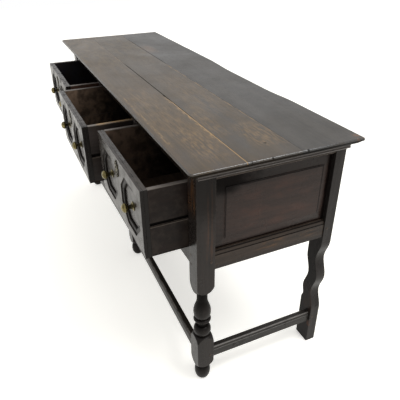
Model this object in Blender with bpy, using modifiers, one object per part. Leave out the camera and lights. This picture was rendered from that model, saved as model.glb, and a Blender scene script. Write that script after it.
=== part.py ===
"""Joined oak dresser base: five legs, three side-hung drawers, a three-board top.

Metres, +Z up. The drawers face -Y and stand part open, each by its own pull. The origin is on the
floor, under the middle of the whole piece as it stands.
"""
import math

import bmesh
import bpy
from mathutils import Matrix

# Driving sizes of the whole piece
HEIGHT = 0.840
TOP_LENGTH = 1.715
TOP_DEPTH = 0.524
TOP_THICKNESS = 0.024
END_OVERHANG = 0.062
FRONT_OVERHANG = 0.043
BACK_OVERHANG = 0.0

# Fits between neighbouring pieces
GAP = 0.0003
TENON_THICKNESS = 0.009
TENON_LENGTH = 0.022
TENON_SHOULDER = 0.008
STUB_LENGTH = 0.010
GROOVE_DEPTH = 0.006
EASED_EDGE = 0.0015
WELD = 0.00001

# Boards of the top and its moulded edge
FRONT_BOARD_WIDTH = 0.157
MIDDLE_BOARD_WIDTH = 0.1635
NOSE_HEIGHT = 0.010
NOSE_ROUND = 0.004
NOSE_UNDERCUT = 0.022

# Moulding under each end of the top
END_MOULDING_HEIGHT = 0.026
END_MOULDING_REACH = 0.029
END_MOULDING_FOOT = 0.013
END_MOULDING_BEAD = 0.006

# Turned front legs, stacked up from the floor
LEG_SIZE = 0.0575
CENTRE_LEG_SETBACK = 0.012
FOOT_HEIGHT = 0.0635
FOOT_RADIUS = 0.0266
FOOT_FLAT_RADIUS = 0.0130
FOOT_NECK_RADIUS = 0.0165
LOWER_BLOCK_HEIGHT = 0.1395
LOWER_BLOCK_SHOULDER = 0.048
CUP_HEIGHT = 0.0405
CUP_RADIUS = 0.0282
CUP_FOOT_RADIUS = 0.0230
WAIST_RADIUS = 0.0150
WAIST_HEIGHT = 0.021
RING_HEIGHT = 0.0125
RING_RADIUS = 0.0282
RING_FILLET = 0.0035
VASE_HEIGHT = 0.0735
VASE_RADIUS = 0.0282
VASE_BELLY = 0.0245
NECK_RADIUS = 0.0170
NECK_HEIGHT = 0.0315
SHOULDER_HEIGHT = 0.050
CUP_RIM_SHARE = 0.14
CUP_LIP_SHARE = 0.28
BALL_MIDDLE_SHARE = 0.36
TURNING_SPARE = 0.0025
TURNING_STEPS = 22
TURNING_PHASE = 0.085
ARC_STEPS = 4

# Flat rear legs with a waved outline
REAR_LEG_WIDTH = 0.062
REAR_LEG_THICKNESS = 0.036
WAVE_DEPTH = 0.018
WAVE_HEAD_MARGIN = 0.026
WAVE_FOOT_MARGIN = 0.022
WAVE_STEPS = 10
NOTCH_DEPTH = 0.007
NOTCH_STEP = 0.018
NOTCH_STEPS = 4

# Front frame
RAIL_THICKNESS = 0.022
RAIL_SETBACK = 0.004
TOP_RAIL_HEIGHT = 0.058
BOTTOM_RAIL_HEIGHT = 0.0585
DIVIDER_WIDTH = 0.048
OPENING_HEIGHT = 0.223

# Framed ends with a raised panel
SIDE_RAIL_THICKNESS = 0.026
SIDE_RAIL_SETBACK = 0.003
SIDE_TOP_RAIL_HEIGHT = 0.042
SIDE_BOTTOM_RAIL_HEIGHT = 0.0645
RAIL_MOULDING_HEIGHT = 0.014
RAIL_MOULDING_DEPTH = 0.007
PANEL_SINK = 0.010
PANEL_THICKNESS = 0.013
PANEL_TONGUE = 0.006
PANEL_BORDER = 0.033
PANEL_STEP = 0.0025

# Back
BACK_BOARD_THICKNESS = 0.010
BACK_RAIL_THICKNESS = 0.020
BACK_INSET = 0.008

# Stretchers
STRETCHER_FOOT = 0.098
STRETCHER_HEIGHT = 0.040
STRETCHER_THICKNESS = 0.021
STRETCHER_INSET = 0.008
STRETCHER_SETBACK = 0.011
STRETCHER_MOULDING_HEIGHT = 0.011
STRETCHER_MOULDING_DEPTH = 0.005

# Drawers and what they run on
DRAWER_SIDE_PLAY = 0.0015
DRAWER_FOOT_PLAY = 0.0025
DRAWER_HEAD_PLAY = 0.0025
DRAWER_BACK_PLAY = 0.014
DRAWER_FRONT_THICKNESS = 0.0115
DRAWER_SIDE_THICKNESS = 0.013
DRAWER_BACK_THICKNESS = 0.012
DRAWER_BACK_DROP = 0.010
DRAWER_BOTTOM_THICKNESS = 0.006
DRAWER_BOTTOM_INSET = 0.002
HOUSING_DEPTH = 0.008
HOUSING_WIDTH = 0.005
HOUSING_SHOULDER = 0.0015
RUNNER_HEIGHT = 0.012
RUNNER_REACH = 0.007
RUNNER_BACKING = 0.017
RUNNER_RISE = 0.1075
RUNNER_TIP_PLAY = 0.001
RIGHT_PULL = 0.133
MIDDLE_PULL = 0.176
LEFT_PULL = 0.139

# Facing applied to the drawer fronts, with a moulded octagon sunk in each half
FACING_THICKNESS = 0.0095
FACING_STILE = 0.0255
FACING_RAIL = 0.032
FACING_CANT = 0.048
CHAMFER_HEIGHT = 0.024
CHAMFER_DEPTH = 0.0025
SINKING_DEPTH = 0.0035
SINKING_WIDTH = 0.012
OVOLO_WIDTH = 0.007
OVOLO_FOOT = 0.0015

# Brass knobs and escutcheons
ROSE_RADIUS = 0.0145
ROSE_HEIGHT = 0.004
KNOB_NECK_RADIUS = 0.0045
KNOB_NECK_LENGTH = 0.0125
KNOB_HEAD_RADIUS = 0.0148
KNOB_HEAD_HEIGHT = 0.019
SPINDLE_RADIUS = 0.0027
SPINDLE_END = 0.006
KNOB_WIDEST_SHARE = 0.45
KNOB_STEPS = 12
ESCUTCHEON_WIDTH = 0.036
ESCUTCHEON_HEIGHT = 0.057
ESCUTCHEON_THICKNESS = 0.0020
ESCUTCHEON_DROP = 0.010
ESCUTCHEON_LOBES = 8
LOBE_DEPTH = 0.10
LOBE_STEPS = 5
PIERCING_RADIUS = 0.0030
PIERCING_ACROSS = 0.0086
PIERCING_UP = 0.0142
HOLE_STEPS = 8
KEYHOLE_RADIUS = 0.0030
KEYHOLE_SLOT_WIDTH = 0.0030
KEYHOLE_LENGTH = 0.0120

# Places that follow from the sizes
UNDER_TOP = HEIGHT - TOP_THICKNESS
LEG_OUTER = TOP_LENGTH / 2 - END_OVERHANG
LEG_INNER = LEG_OUTER - LEG_SIZE
LEG_X = LEG_OUTER - LEG_SIZE / 2
FRONT_Y = -TOP_DEPTH / 2 + FRONT_OVERHANG
LEG_Y = FRONT_Y + LEG_SIZE / 2
LEG_BACK_Y = FRONT_Y + LEG_SIZE
BACK_Y = TOP_DEPTH / 2 - BACK_OVERHANG
REAR_FRONT_Y = BACK_Y - REAR_LEG_THICKNESS
REAR_INNER = LEG_OUTER - REAR_LEG_WIDTH
OPENING_TOP = UNDER_TOP - TOP_RAIL_HEIGHT
OPENING_BOTTOM = OPENING_TOP - OPENING_HEIGHT
FRAME_BOTTOM = OPENING_BOTTOM - BOTTOM_RAIL_HEIGHT
OPENING_WIDTH = (2 * LEG_INNER - 2 * DIVIDER_WIDTH) / 3
BAY_PITCH = OPENING_WIDTH + DIVIDER_WIDTH
DIVIDER_X = BAY_PITCH / 2
STRETCHER_TOP = STRETCHER_FOOT + STRETCHER_HEIGHT
SIDE_PANEL_TOP = UNDER_TOP - SIDE_TOP_RAIL_HEIGHT
SIDE_PANEL_BOTTOM = FRAME_BOTTOM + SIDE_BOTTOM_RAIL_HEIGHT
RUNNER_Z = OPENING_BOTTOM + RUNNER_RISE
BACK_MIDDLE_Y = BACK_Y - BACK_INSET - BACK_RAIL_THICKNESS / 2
BACK_BOARD_FRONT = BACK_MIDDLE_Y - BACK_BOARD_THICKNESS / 2
DRAWER_WIDTH = OPENING_WIDTH - 2 * DRAWER_SIDE_PLAY
DRAWER_FOOT = OPENING_BOTTOM + DRAWER_FOOT_PLAY
DRAWER_HEAD = OPENING_TOP - DRAWER_HEAD_PLAY
DRAWER_MIDDLE_Z = (DRAWER_FOOT + DRAWER_HEAD) / 2
DRAWER_DEPTH = min(REAR_FRONT_Y, BACK_BOARD_FRONT) - DRAWER_BACK_PLAY - FRONT_Y
SIDE_FOOT = DRAWER_FOOT + DRAWER_BOTTOM_THICKNESS + GAP
FIELD_X = DRAWER_WIDTH / 4
KNOB_LENGTH = ROSE_HEIGHT + KNOB_NECK_LENGTH + KNOB_HEAD_HEIGHT
BOARD_FACE = FACING_THICKNESS + GAP
BOARD_BACK = BOARD_FACE + DRAWER_FRONT_THICKNESS
KNOB_SEAT = BOARD_FACE - GAP
PULLS = {"left": LEFT_PULL, "middle": MIDDLE_PULL, "right": RIGHT_PULL}
FRONT_REACH = max(PULLS.values()) - KNOB_SEAT + KNOB_LENGTH - FRONT_Y
MIDDLE_SHIFT = (FRONT_REACH - TOP_DEPTH / 2) / 2
SIDES = {"right": 1, "left": -1}

for old in list(bpy.data.objects):
    bpy.data.objects.remove(old, do_unlink=True)

parts = bpy.data.collections.new("dresser_base")
cutters = bpy.data.collections.new("joint_cutters")
bpy.context.scene.collection.children.link(parts)
bpy.context.scene.collection.children.link(cutters)


def finish(name, colour, roughness, metallic=0.0):
    """Plain surface finish of one kind of stuff"""
    material = bpy.data.materials.new(name)
    material.use_nodes = True
    shader = material.node_tree.nodes["Principled BSDF"]
    shader.inputs["Base Color"].default_value = (*colour, 1.0)
    shader.inputs["Roughness"].default_value = roughness
    shader.inputs["Metallic"].default_value = metallic
    return material


TOP_OAK = finish("top_oak", (0.062, 0.046, 0.034), 0.36)
FRAME_OAK = finish("frame_oak", (0.034, 0.024, 0.018), 0.42)
PANEL_OAK = finish("panel_oak", (0.045, 0.030, 0.022), 0.42)
LINING_OAK = finish("lining_oak", (0.040, 0.028, 0.020), 0.62)
BRASS = finish("aged_brass", (0.33, 0.27, 0.12), 0.38, 1.0)


def empty(name, parent=None, location=(0.0, 0.0, 0.0)):
    """Handle that carries the pieces of one body"""
    handle = bpy.data.objects.new(name, None)
    handle.empty_display_size = LEG_SIZE
    handle.parent = parent
    handle.location = location
    parts.objects.link(handle)
    return handle


def piece(name, mesh, material, parent):
    """Named sub-part with its finish, on the body that carries it"""
    mesh.name = name
    mesh.materials.clear()
    mesh.materials.append(material)
    made = bpy.data.objects.new(name, mesh)
    made.parent = parent
    parts.objects.link(made)
    return made


def cutter(name, mesh, parent):
    """Tool solid that shapes a piece and is no part of it"""
    tool = bpy.data.objects.new(name, mesh)
    tool.parent = parent
    tool.hide_render = True
    tool.display_type = "WIRE"
    cutters.objects.link(tool)
    return tool


def combine(target, tool, operation="DIFFERENCE"):
    """Boolean between a piece and a tool on the same body"""
    change = target.modifiers.new(tool.name, "BOOLEAN")
    change.operation = operation
    change.solver = "EXACT"
    change.object = tool


def lofted_mesh(sections, eased=()):
    """Closed solid through sections that have the same number of corners.

    The long edges after each section numbered in eased get a small chamfer.
    """
    built = bmesh.new()
    face = built.faces.new([built.verts.new(place) for place in sections[0]])
    rings = [list(face.verts)]
    for section in sections[1:]:
        inner_face = face
        copied = bmesh.ops.extrude_face_region(built, geom=[face])["geom"]
        face = [item for item in copied if isinstance(item, bmesh.types.BMFace)][0]
        if len(rings) > 1:
            bmesh.ops.delete(built, geom=[inner_face], context="FACES_ONLY")
        ring = [min(face.verts, key=lambda vert: (vert.co - old.co).length) for old in rings[-1]]
        for vert, place in zip(ring, section):
            vert.co = place
        rings.append(ring)
    long_edges = [
        edge for edge in built.edges
        for station in eased
        if any(vert in rings[station] for vert in edge.verts)
        and any(vert in rings[station + 1] for vert in edge.verts)
    ]
    if long_edges:
        bmesh.ops.bevel(
            built, geom=long_edges, offset=EASED_EDGE, segments=1, profile=0.5, affect="EDGES", material=-1
        )
    bmesh.ops.recalc_face_normals(built, faces=built.faces)
    mesh = bpy.data.meshes.new("loft")
    built.to_mesh(mesh)
    built.free()
    return mesh


def beam_mesh(axis, stations, eased=()):
    """Straight piece with a rectangular section at each station along an axis.

    A station is (place, span, span), with the spans across X in Y and Z, across Y in Z and X, and
    across Z in X and Y.
    """
    turn = {"X": (2, 0, 1), "Y": (1, 2, 0), "Z": (0, 1, 2)}[axis]
    corners = ((0, 0), (1, 0), (1, 1), (0, 1))
    sections = []
    for place, across, along in stations:
        places = [(across[far], along[high], place) for far, high in corners]
        sections.append([tuple(spot[index] for index in turn) for spot in places])
    return lofted_mesh(sections, eased)


def box_mesh(box, eased=()):
    """Plain block from its spans in X, Y and Z"""
    across, along, up = box
    return beam_mesh("Z", [(up[0], across, along), (up[1], across, along)], eased)


def grown(box):
    """Room for a block with clearance all round"""
    return tuple((low - GAP, high + GAP) for low, high in box)


def mirrored_span(span, side):
    """Span in X on the right or the left half"""
    return tuple(sorted((side * span[0], side * span[1])))


def mirrored(box, side):
    """Block on the right or the left half"""
    return (mirrored_span(box[0], side), *box[1:])


def mortise(target, name, box):
    """Recess in a piece for a tenon, tongue or edge that sits in it"""
    tool = cutter(f"{target.name}_for_{name}", box_mesh(grown(box)), target.parent)
    combine(target, tool)


def outline_mesh(outlines, thickness):
    """Flat solid from closed outlines in X and Z, with its thickness centred on Y"""
    curve = bpy.data.curves.new("outline", "CURVE")
    curve.dimensions = "2D"
    curve.fill_mode = "BOTH"
    curve.extrude = thickness / 2
    for points in outlines:
        spline = curve.splines.new("POLY")
        spline.points.add(len(points) - 1)
        for point, (across, up) in zip(spline.points, points):
            point.co = (across, up, 0.0, 1.0)
        spline.use_cyclic_u = True
    drawn = bpy.data.objects.new("outline", curve)
    parts.objects.link(drawn)
    graph = bpy.context.evaluated_depsgraph_get()
    mesh = bpy.data.meshes.new_from_object(drawn.evaluated_get(graph))
    bpy.data.objects.remove(drawn, do_unlink=True)
    mesh.transform(Matrix.Rotation(math.pi / 2, 4, "X"))
    welded = bmesh.new()
    welded.from_mesh(mesh)
    bmesh.ops.remove_doubles(welded, verts=welded.verts, dist=WELD)
    bmesh.ops.recalc_face_normals(welded, faces=welded.faces)
    welded.to_mesh(mesh)
    welded.free()
    return mesh


def moved(mesh, x=0.0, y=0.0, z=0.0):
    """Mesh set at its place"""
    mesh.transform(Matrix.Translation((x, y, z)))
    return mesh


def profile_mesh(points, phase=0.0):
    """Open profile of a turned piece, radius and height, from its top down to its foot"""
    mesh = bpy.data.meshes.new("profile")
    links = [(i, i + 1) for i in range(len(points) - 1)]
    mesh.from_pydata([(radius, 0.0, height) for radius, height in points], links, [])
    mesh.transform(Matrix.Rotation(phase, 4, "Z"))
    return mesh


def turn_profile(target, steps):
    """Spin a profile about its own Z axis into a closed solid"""
    spin = target.modifiers.new("turning", "SCREW")
    spin.axis = "Z"
    spin.steps = steps
    spin.render_steps = steps
    spin.use_merge_vertices = True
    spin.merge_threshold = WELD
    spin.use_smooth_shade = True


def quarter(start, end, upright_first):
    """Quarter round between two profile points, without its first point"""
    points = []
    for step in range(1, ARC_STEPS + 1):
        angle = math.pi / 2 * step / ARC_STEPS
        slow, fast = 1 - math.cos(angle), math.sin(angle)
        part_r, part_z = (slow, fast) if upright_first else (fast, slow)
        radius = start[0] + (end[0] - start[0]) * part_r
        height = start[1] + (end[1] - start[1]) * part_z
        points.append((radius, height))
    return points


def swell(start, end):
    """Smooth ogee between two profile points, without its first point"""
    points = []
    for step in range(1, 2 * ARC_STEPS + 1):
        share = step / (2 * ARC_STEPS)
        ease = (1 - math.cos(math.pi * share)) / 2
        radius = start[0] + (end[0] - start[0]) * ease
        height = start[1] + (end[1] - start[1]) * share
        points.append((radius, height))
    return points


root = empty("dresser_base_frame", location=(0.0, MIDDLE_SHIFT, 0.0))


def tenon_of(rail, up_margin=TENON_SHOULDER):
    """Spans of the tenon across a rail's thickness and height"""
    thickness, height = rail
    middle = sum(thickness) / 2
    cheek = (middle - TENON_THICKNESS / 2, middle + TENON_THICKNESS / 2)
    return cheek, (height[0] + TENON_SHOULDER, height[1] - up_margin)


def leg_profile(top):
    """Turning of a front leg: ball foot, block, cup, waist, ring, vase, neck and shoulder"""
    full = LEG_SIZE * math.sqrt(0.5) + TURNING_SPARE
    block_foot = FOOT_HEIGHT
    block_head = block_foot + LOWER_BLOCK_HEIGHT
    cup_head = block_head + CUP_HEIGHT
    ring_foot = cup_head + WAIST_HEIGHT
    ring_head = ring_foot + RING_HEIGHT
    vase_foot = ring_head + RING_FILLET
    vase_head = vase_foot + VASE_HEIGHT
    neck_head = vase_head + NECK_HEIGHT
    shoulder_head = neck_head + SHOULDER_HEIGHT
    fillet_radius = (WAIST_RADIUS + RING_RADIUS) / 2
    cup_rim = block_head + CUP_HEIGHT * CUP_RIM_SHARE
    cup_lip = block_head + CUP_HEIGHT * CUP_LIP_SHARE
    ball_middle = FOOT_HEIGHT * BALL_MIDDLE_SHARE
    points = [(0.0, top), (full, top), (full, shoulder_head)]
    points += quarter(points[-1], (NECK_RADIUS, neck_head), True)
    points += [(NECK_RADIUS, vase_head)]
    points += swell(points[-1], (VASE_RADIUS, vase_foot + VASE_BELLY))
    points += quarter(points[-1], (fillet_radius, vase_foot), True)
    points += [(fillet_radius, ring_head)]
    points += quarter(points[-1], (RING_RADIUS, (ring_foot + ring_head) / 2), False)
    points += quarter(points[-1], (fillet_radius, ring_foot), True)
    points += [(WAIST_RADIUS, ring_foot - RING_FILLET), (WAIST_RADIUS, cup_head)]
    points += quarter(points[-1], (CUP_RADIUS, cup_lip), False)
    points += [(CUP_RADIUS, cup_rim)]
    points += quarter(points[-1], (CUP_FOOT_RADIUS, block_head), True)
    points += quarter(points[-1], (full, block_head - LOWER_BLOCK_SHOULDER), False)
    points += [(full, block_foot + LOWER_BLOCK_SHOULDER)]
    points += quarter(points[-1], (FOOT_NECK_RADIUS, block_foot), True)
    points += quarter(points[-1], (FOOT_RADIUS, ball_middle), False)
    points += quarter(points[-1], (FOOT_FLAT_RADIUS, 0.0), True)
    points += [(0.0, 0.0)]
    return points


def front_leg(name, place, billet_stations):
    """Leg turned from a square billet, whose flats stay where the turning is wider"""
    top = billet_stations[-1][0]
    profile = profile_mesh(leg_profile(top + LEG_SIZE), TURNING_PHASE)
    leg = piece(name, profile, FRAME_OAK, root)
    leg.location = (*place, 0.0)
    turn_profile(leg, TURNING_STEPS)
    billet = cutter(f"{name}_billet", beam_mesh("Z", billet_stations), root)
    combine(leg, billet, "INTERSECT")
    return leg


# Rails of the front frame
rail_y = (FRONT_Y + RAIL_SETBACK, FRONT_Y + RAIL_SETBACK + RAIL_THICKNESS)
rail_end = LEG_INNER - GAP
top_rail_z = (OPENING_TOP, UNDER_TOP - GAP)
bottom_rail_z = (FRAME_BOTTOM, OPENING_BOTTOM)


def tenoned_rail(name, axis, ends, across, along, tenon, length, material):
    """Rail with a tenon at each end and eased edges between them"""
    low, high = ends
    stations = [
        (low - length, *tenon),
        (low, *tenon),
        (low, across, along),
        (high, across, along),
        (high, *tenon),
        (high + length, *tenon),
    ]
    return piece(name, beam_mesh(axis, stations, eased=(2,)), material, root)


top_rail_tenon = tenon_of((rail_y, top_rail_z))
bottom_rail_tenon = tenon_of((rail_y, bottom_rail_z))
rail_ends = (-rail_end, rail_end)
front_top_rail = tenoned_rail(
    "front_top_rail", "X", rail_ends, rail_y, top_rail_z, top_rail_tenon, TENON_LENGTH, FRAME_OAK
)
front_bottom_rail = tenoned_rail(
    "front_bottom_rail", "X", rail_ends, rail_y, bottom_rail_z, bottom_rail_tenon, TENON_LENGTH, FRAME_OAK
)

# Turned front legs; the centre one is tenoned up into the bottom rail
leg_y = (FRONT_Y, LEG_BACK_Y)
billet_foot = -LEG_SIZE
front_legs = {}
for side_name, side in SIDES.items():
    leg_span = mirrored_span((LEG_INNER, LEG_OUTER), side)
    front_legs[side_name] = front_leg(
        f"front_leg_{side_name}",
        (side * LEG_X, LEG_Y),
        [(billet_foot, leg_span, leg_y), (UNDER_TOP - GAP, leg_span, leg_y)],
    )
    for rail_name, tenon in (("top_rail", top_rail_tenon), ("bottom_rail", bottom_rail_tenon)):
        block = ((rail_end, rail_end + TENON_LENGTH), tenon[0], tenon[1])
        mortise(front_legs[side_name], rail_name, mirrored(block, side))

centre_span = (-LEG_SIZE / 2, LEG_SIZE / 2)
centre_y = tuple(place + CENTRE_LEG_SETBACK for place in leg_y)
centre_top = FRAME_BOTTOM - GAP
lap_middle = (centre_y[0] + rail_y[1]) / 2
lap_tenon = (lap_middle - TENON_THICKNESS / 2, lap_middle + TENON_THICKNESS / 2)
centre_tenon = ((-LEG_SIZE / 4, LEG_SIZE / 4), lap_tenon)
front_legs["centre"] = front_leg(
    "front_leg_centre",
    (0.0, LEG_Y + CENTRE_LEG_SETBACK),
    [
        (billet_foot, centre_span, centre_y),
        (centre_top, centre_span, centre_y),
        (centre_top, *centre_tenon),
        (centre_top + TENON_LENGTH, *centre_tenon),
    ],
)
mortise(front_bottom_rail, "centre_leg", (*centre_tenon, (centre_top, centre_top + TENON_LENGTH)))

# Upright dividers between the drawers
dividers = {}
divider_z = (OPENING_BOTTOM + GAP, OPENING_TOP - GAP)
for side_name, side in SIDES.items():
    middle = side * DIVIDER_X
    divider_span = (middle - DIVIDER_WIDTH / 2, middle + DIVIDER_WIDTH / 2)
    tenon_span = (divider_span[0] + TENON_SHOULDER, divider_span[1] - TENON_SHOULDER)
    divider_tenon = (tenon_span, top_rail_tenon[0])
    dividers[side_name] = tenoned_rail(
        f"drawer_divider_{side_name}", "Z", divider_z, divider_span, rail_y, divider_tenon, TENON_LENGTH,
        FRAME_OAK,
    )
    upper_tenon = (divider_z[1], divider_z[1] + TENON_LENGTH)
    lower_tenon = (divider_z[0] - TENON_LENGTH, divider_z[0])
    mortise(front_top_rail, f"divider_{side_name}", (*divider_tenon, upper_tenon))
    mortise(front_bottom_rail, f"divider_{side_name}", (*divider_tenon, lower_tenon))


def rear_leg_outline(side):
    """Flat leg, straight at both ends, whose edges wave between rail and stretcher.

    The outer edge has two hollows; the inner one has a hollow between them and a short notch below it.
    """
    head = FRAME_BOTTOM - WAVE_HEAD_MARGIN
    foot = STRETCHER_TOP + WAVE_FOOT_MARGIN
    length = (head - foot) / 2
    outer = [(LEG_OUTER, UNDER_TOP - GAP)]
    for step in range(2 * WAVE_STEPS + 1):
        turns = step / WAVE_STEPS
        inset = WAVE_DEPTH / 2 * (1 - math.cos(2 * math.pi * turns))
        outer.append((LEG_OUTER - inset, head - turns * length))
    outer.append((LEG_OUTER, 0.0))
    notch_head = foot + length / 2
    notch_foot = (foot + notch_head) / 2
    inner = [(REAR_INNER, 0.0), (REAR_INNER, notch_foot - NOTCH_STEP)]
    for step in range(NOTCH_STEPS):
        share = step / NOTCH_STEPS
        inset = NOTCH_DEPTH / 2 * (1 + math.cos(math.pi * share))
        inner.append((REAR_INNER + inset, notch_foot + (notch_head - notch_foot) * share))
    for step in range(WAVE_STEPS + 1):
        turns = step / WAVE_STEPS
        inset = WAVE_DEPTH / 2 * (1 - math.cos(2 * math.pi * turns))
        inner.append((REAR_INNER + inset, notch_head + turns * length))
    inner.append((REAR_INNER, UNDER_TOP - GAP))
    return [(side * x, z) for x, z in outer + inner]


rear_legs = {}
for side_name, side in SIDES.items():
    flat = outline_mesh([rear_leg_outline(side)], REAR_LEG_THICKNESS)
    rear_legs[side_name] = piece(
        f"rear_leg_{side_name}", moved(flat, y=BACK_Y - REAR_LEG_THICKNESS / 2), FRAME_OAK, root
    )

# Framed ends: two rails and a raised panel between a front and a rear leg
side_ends = (LEG_BACK_Y + GAP, REAR_FRONT_Y - GAP)
side_rail_x = (LEG_OUTER - SIDE_RAIL_SETBACK - SIDE_RAIL_THICKNESS, LEG_OUTER - SIDE_RAIL_SETBACK)
side_top_z = (SIDE_PANEL_TOP, UNDER_TOP - GAP)
side_bottom_z = (FRAME_BOTTOM, SIDE_PANEL_BOTTOM)
panel_back = LEG_OUTER - PANEL_SINK - PANEL_THICKNESS
panel_tongue_x = (panel_back, panel_back + PANEL_TONGUE)


def moulded_outline(span, heights, moulding, side):
    """Section of a bar, with an ovolo between two small steps on its outer upper edge"""
    inner, outer = span
    foot, head = heights
    height, depth = moulding
    quirk = depth / 4
    sunk = outer - depth
    start = (outer - quirk, head - height + quirk)
    points = [(inner, foot), (outer, foot), (outer, head - height)]
    points += [(outer - quirk, head - height), start]
    points += quarter(start, (sunk + quirk, head - quirk), True)
    points += [(sunk, head - quirk), (sunk, head), (inner, head)]
    return [(side * x, z) for x, z in points]


def raised_panel_mesh(side):
    """Panel with thin edges, a sloped border and a stepped flat field"""
    across = (side_ends[0] - GROOVE_DEPTH, side_ends[1] + GROOVE_DEPTH)
    up = (SIDE_PANEL_BOTTOM - GROOVE_DEPTH + GAP, SIDE_PANEL_TOP + GROOVE_DEPTH - GAP)
    inset = GROOVE_DEPTH + PANEL_BORDER
    shown = [(low + GROOVE_DEPTH, high - GROOVE_DEPTH) for low, high in (across, up)]
    field = [(low + inset, high - inset) for low, high in (across, up)]
    face = panel_back + PANEL_THICKNESS
    stations = [
        (side * panel_back, across, up),
        (side * panel_tongue_x[1], across, up),
        (side * panel_tongue_x[1], *shown),
        (side * (face - PANEL_STEP), *field),
        (side * face, *field),
    ]
    return beam_mesh("X", stations)


for side_name, side in SIDES.items():
    rail_x = mirrored_span(side_rail_x, side)
    tongue_x = mirrored_span(panel_tongue_x, side)
    top_tenon = tenon_of((rail_x, side_top_z))
    bottom_tenon = tenon_of((rail_x, side_bottom_z), TENON_SHOULDER + GROOVE_DEPTH)
    top_cross = (side_top_z, rail_x)
    side_top_rail = tenoned_rail(
        f"side_top_rail_{side_name}", "Y", side_ends, *top_cross, (top_tenon[1], top_tenon[0]),
        TENON_LENGTH / 2, FRAME_OAK,
    )
    rail_moulding = (RAIL_MOULDING_HEIGHT, RAIL_MOULDING_DEPTH)
    outline = moulded_outline(side_rail_x, side_bottom_z, rail_moulding, side)
    section = outline_mesh([outline], side_ends[1] - side_ends[0])
    side_bottom_rail = piece(
        f"side_bottom_rail_{side_name}", moved(section, y=sum(side_ends) / 2), FRAME_OAK, root
    )
    tenon_y = (side_ends[0] - TENON_LENGTH, side_ends[1] + TENON_LENGTH / 2)
    tenon_bar = box_mesh((bottom_tenon[0], tenon_y, bottom_tenon[1]))
    combine(side_bottom_rail, cutter(f"side_bottom_tenons_{side_name}", tenon_bar, root), "UNION")
    piece(f"side_panel_{side_name}", raised_panel_mesh(side), PANEL_OAK, root)
    panel_y = (side_ends[0] - GROOVE_DEPTH, side_ends[1] + GROOVE_DEPTH)
    panel_z = (SIDE_PANEL_BOTTOM - GROOVE_DEPTH + GAP, SIDE_PANEL_TOP + GROOVE_DEPTH - GAP)
    tongue = (tongue_x, panel_y, panel_z)
    for holder in (side_top_rail, side_bottom_rail, front_legs[side_name], rear_legs[side_name]):
        mortise(holder, "panel", tongue)
    front_half = (side_ends[0] - TENON_LENGTH / 2, side_ends[0])
    rear_half = (side_ends[1], side_ends[1] + TENON_LENGTH / 2)
    front_full = (side_ends[0] - TENON_LENGTH, side_ends[0])
    mortise(front_legs[side_name], "side_top_rail", (top_tenon[0], front_half, top_tenon[1]))
    mortise(rear_legs[side_name], "side_top_rail", (top_tenon[0], rear_half, top_tenon[1]))
    mortise(front_legs[side_name], "side_bottom_rail", (bottom_tenon[0], front_full, bottom_tenon[1]))
    mortise(rear_legs[side_name], "side_bottom_rail", (bottom_tenon[0], rear_half, bottom_tenon[1]))

# Back: a rail between the rear legs and a board in its groove
back_rail_y = (BACK_MIDDLE_Y - BACK_RAIL_THICKNESS / 2, BACK_MIDDLE_Y + BACK_RAIL_THICKNESS / 2)
back_end = REAR_INNER - GAP
back_tenon = tenon_of((back_rail_y, bottom_rail_z), TENON_SHOULDER + GROOVE_DEPTH)
back_bottom_rail = tenoned_rail(
    "back_bottom_rail", "X", (-back_end, back_end), back_rail_y, bottom_rail_z, back_tenon, TENON_LENGTH,
    FRAME_OAK,
)
back_board_box = (
    (-back_end - GROOVE_DEPTH, back_end + GROOVE_DEPTH),
    (BACK_BOARD_FRONT, BACK_BOARD_FRONT + BACK_BOARD_THICKNESS),
    (OPENING_BOTTOM - GROOVE_DEPTH + GAP, UNDER_TOP - GAP),
)
back_board = piece("back_board", box_mesh(back_board_box), PANEL_OAK, root)
mortise(back_bottom_rail, "back_board", back_board_box)
for side_name, side in SIDES.items():
    mortise(rear_legs[side_name], "back_board", back_board_box)
    block = ((back_end, back_end + TENON_LENGTH), *back_tenon)
    mortise(rear_legs[side_name], "back_rail", mirrored(block, side))

# Stretchers with a moulded upper edge, tenoned into the lower blocks of the legs
stretcher_z = (STRETCHER_FOOT, STRETCHER_TOP)
stretcher_face = FRONT_Y + STRETCHER_SETBACK
stretcher_y = (stretcher_face, stretcher_face + STRETCHER_THICKNESS)
stretcher_x = (LEG_OUTER - STRETCHER_INSET - STRETCHER_THICKNESS, LEG_OUTER - STRETCHER_INSET)
stretcher_moulding = (STRETCHER_MOULDING_HEIGHT, STRETCHER_MOULDING_DEPTH)


def stretcher(name, mesh, bar_mesh):
    """Moulded bar with the tenons at its ends"""
    made = piece(name, mesh, FRAME_OAK, root)
    combine(made, cutter(f"{name}_tenons", bar_mesh, root), "UNION")


def run_back(mesh, ends, side):
    """Skew that takes a front stretcher back to the centre leg, with its ends square to the legs"""
    slope = (CENTRE_LEG_SETBACK + STRETCHER_INSET - STRETCHER_SETBACK) / (ends[1] - ends[0])
    for vert in mesh.vertices:
        vert.co.y += slope * (ends[1] - side * vert.co.x)
    return mesh


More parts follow.
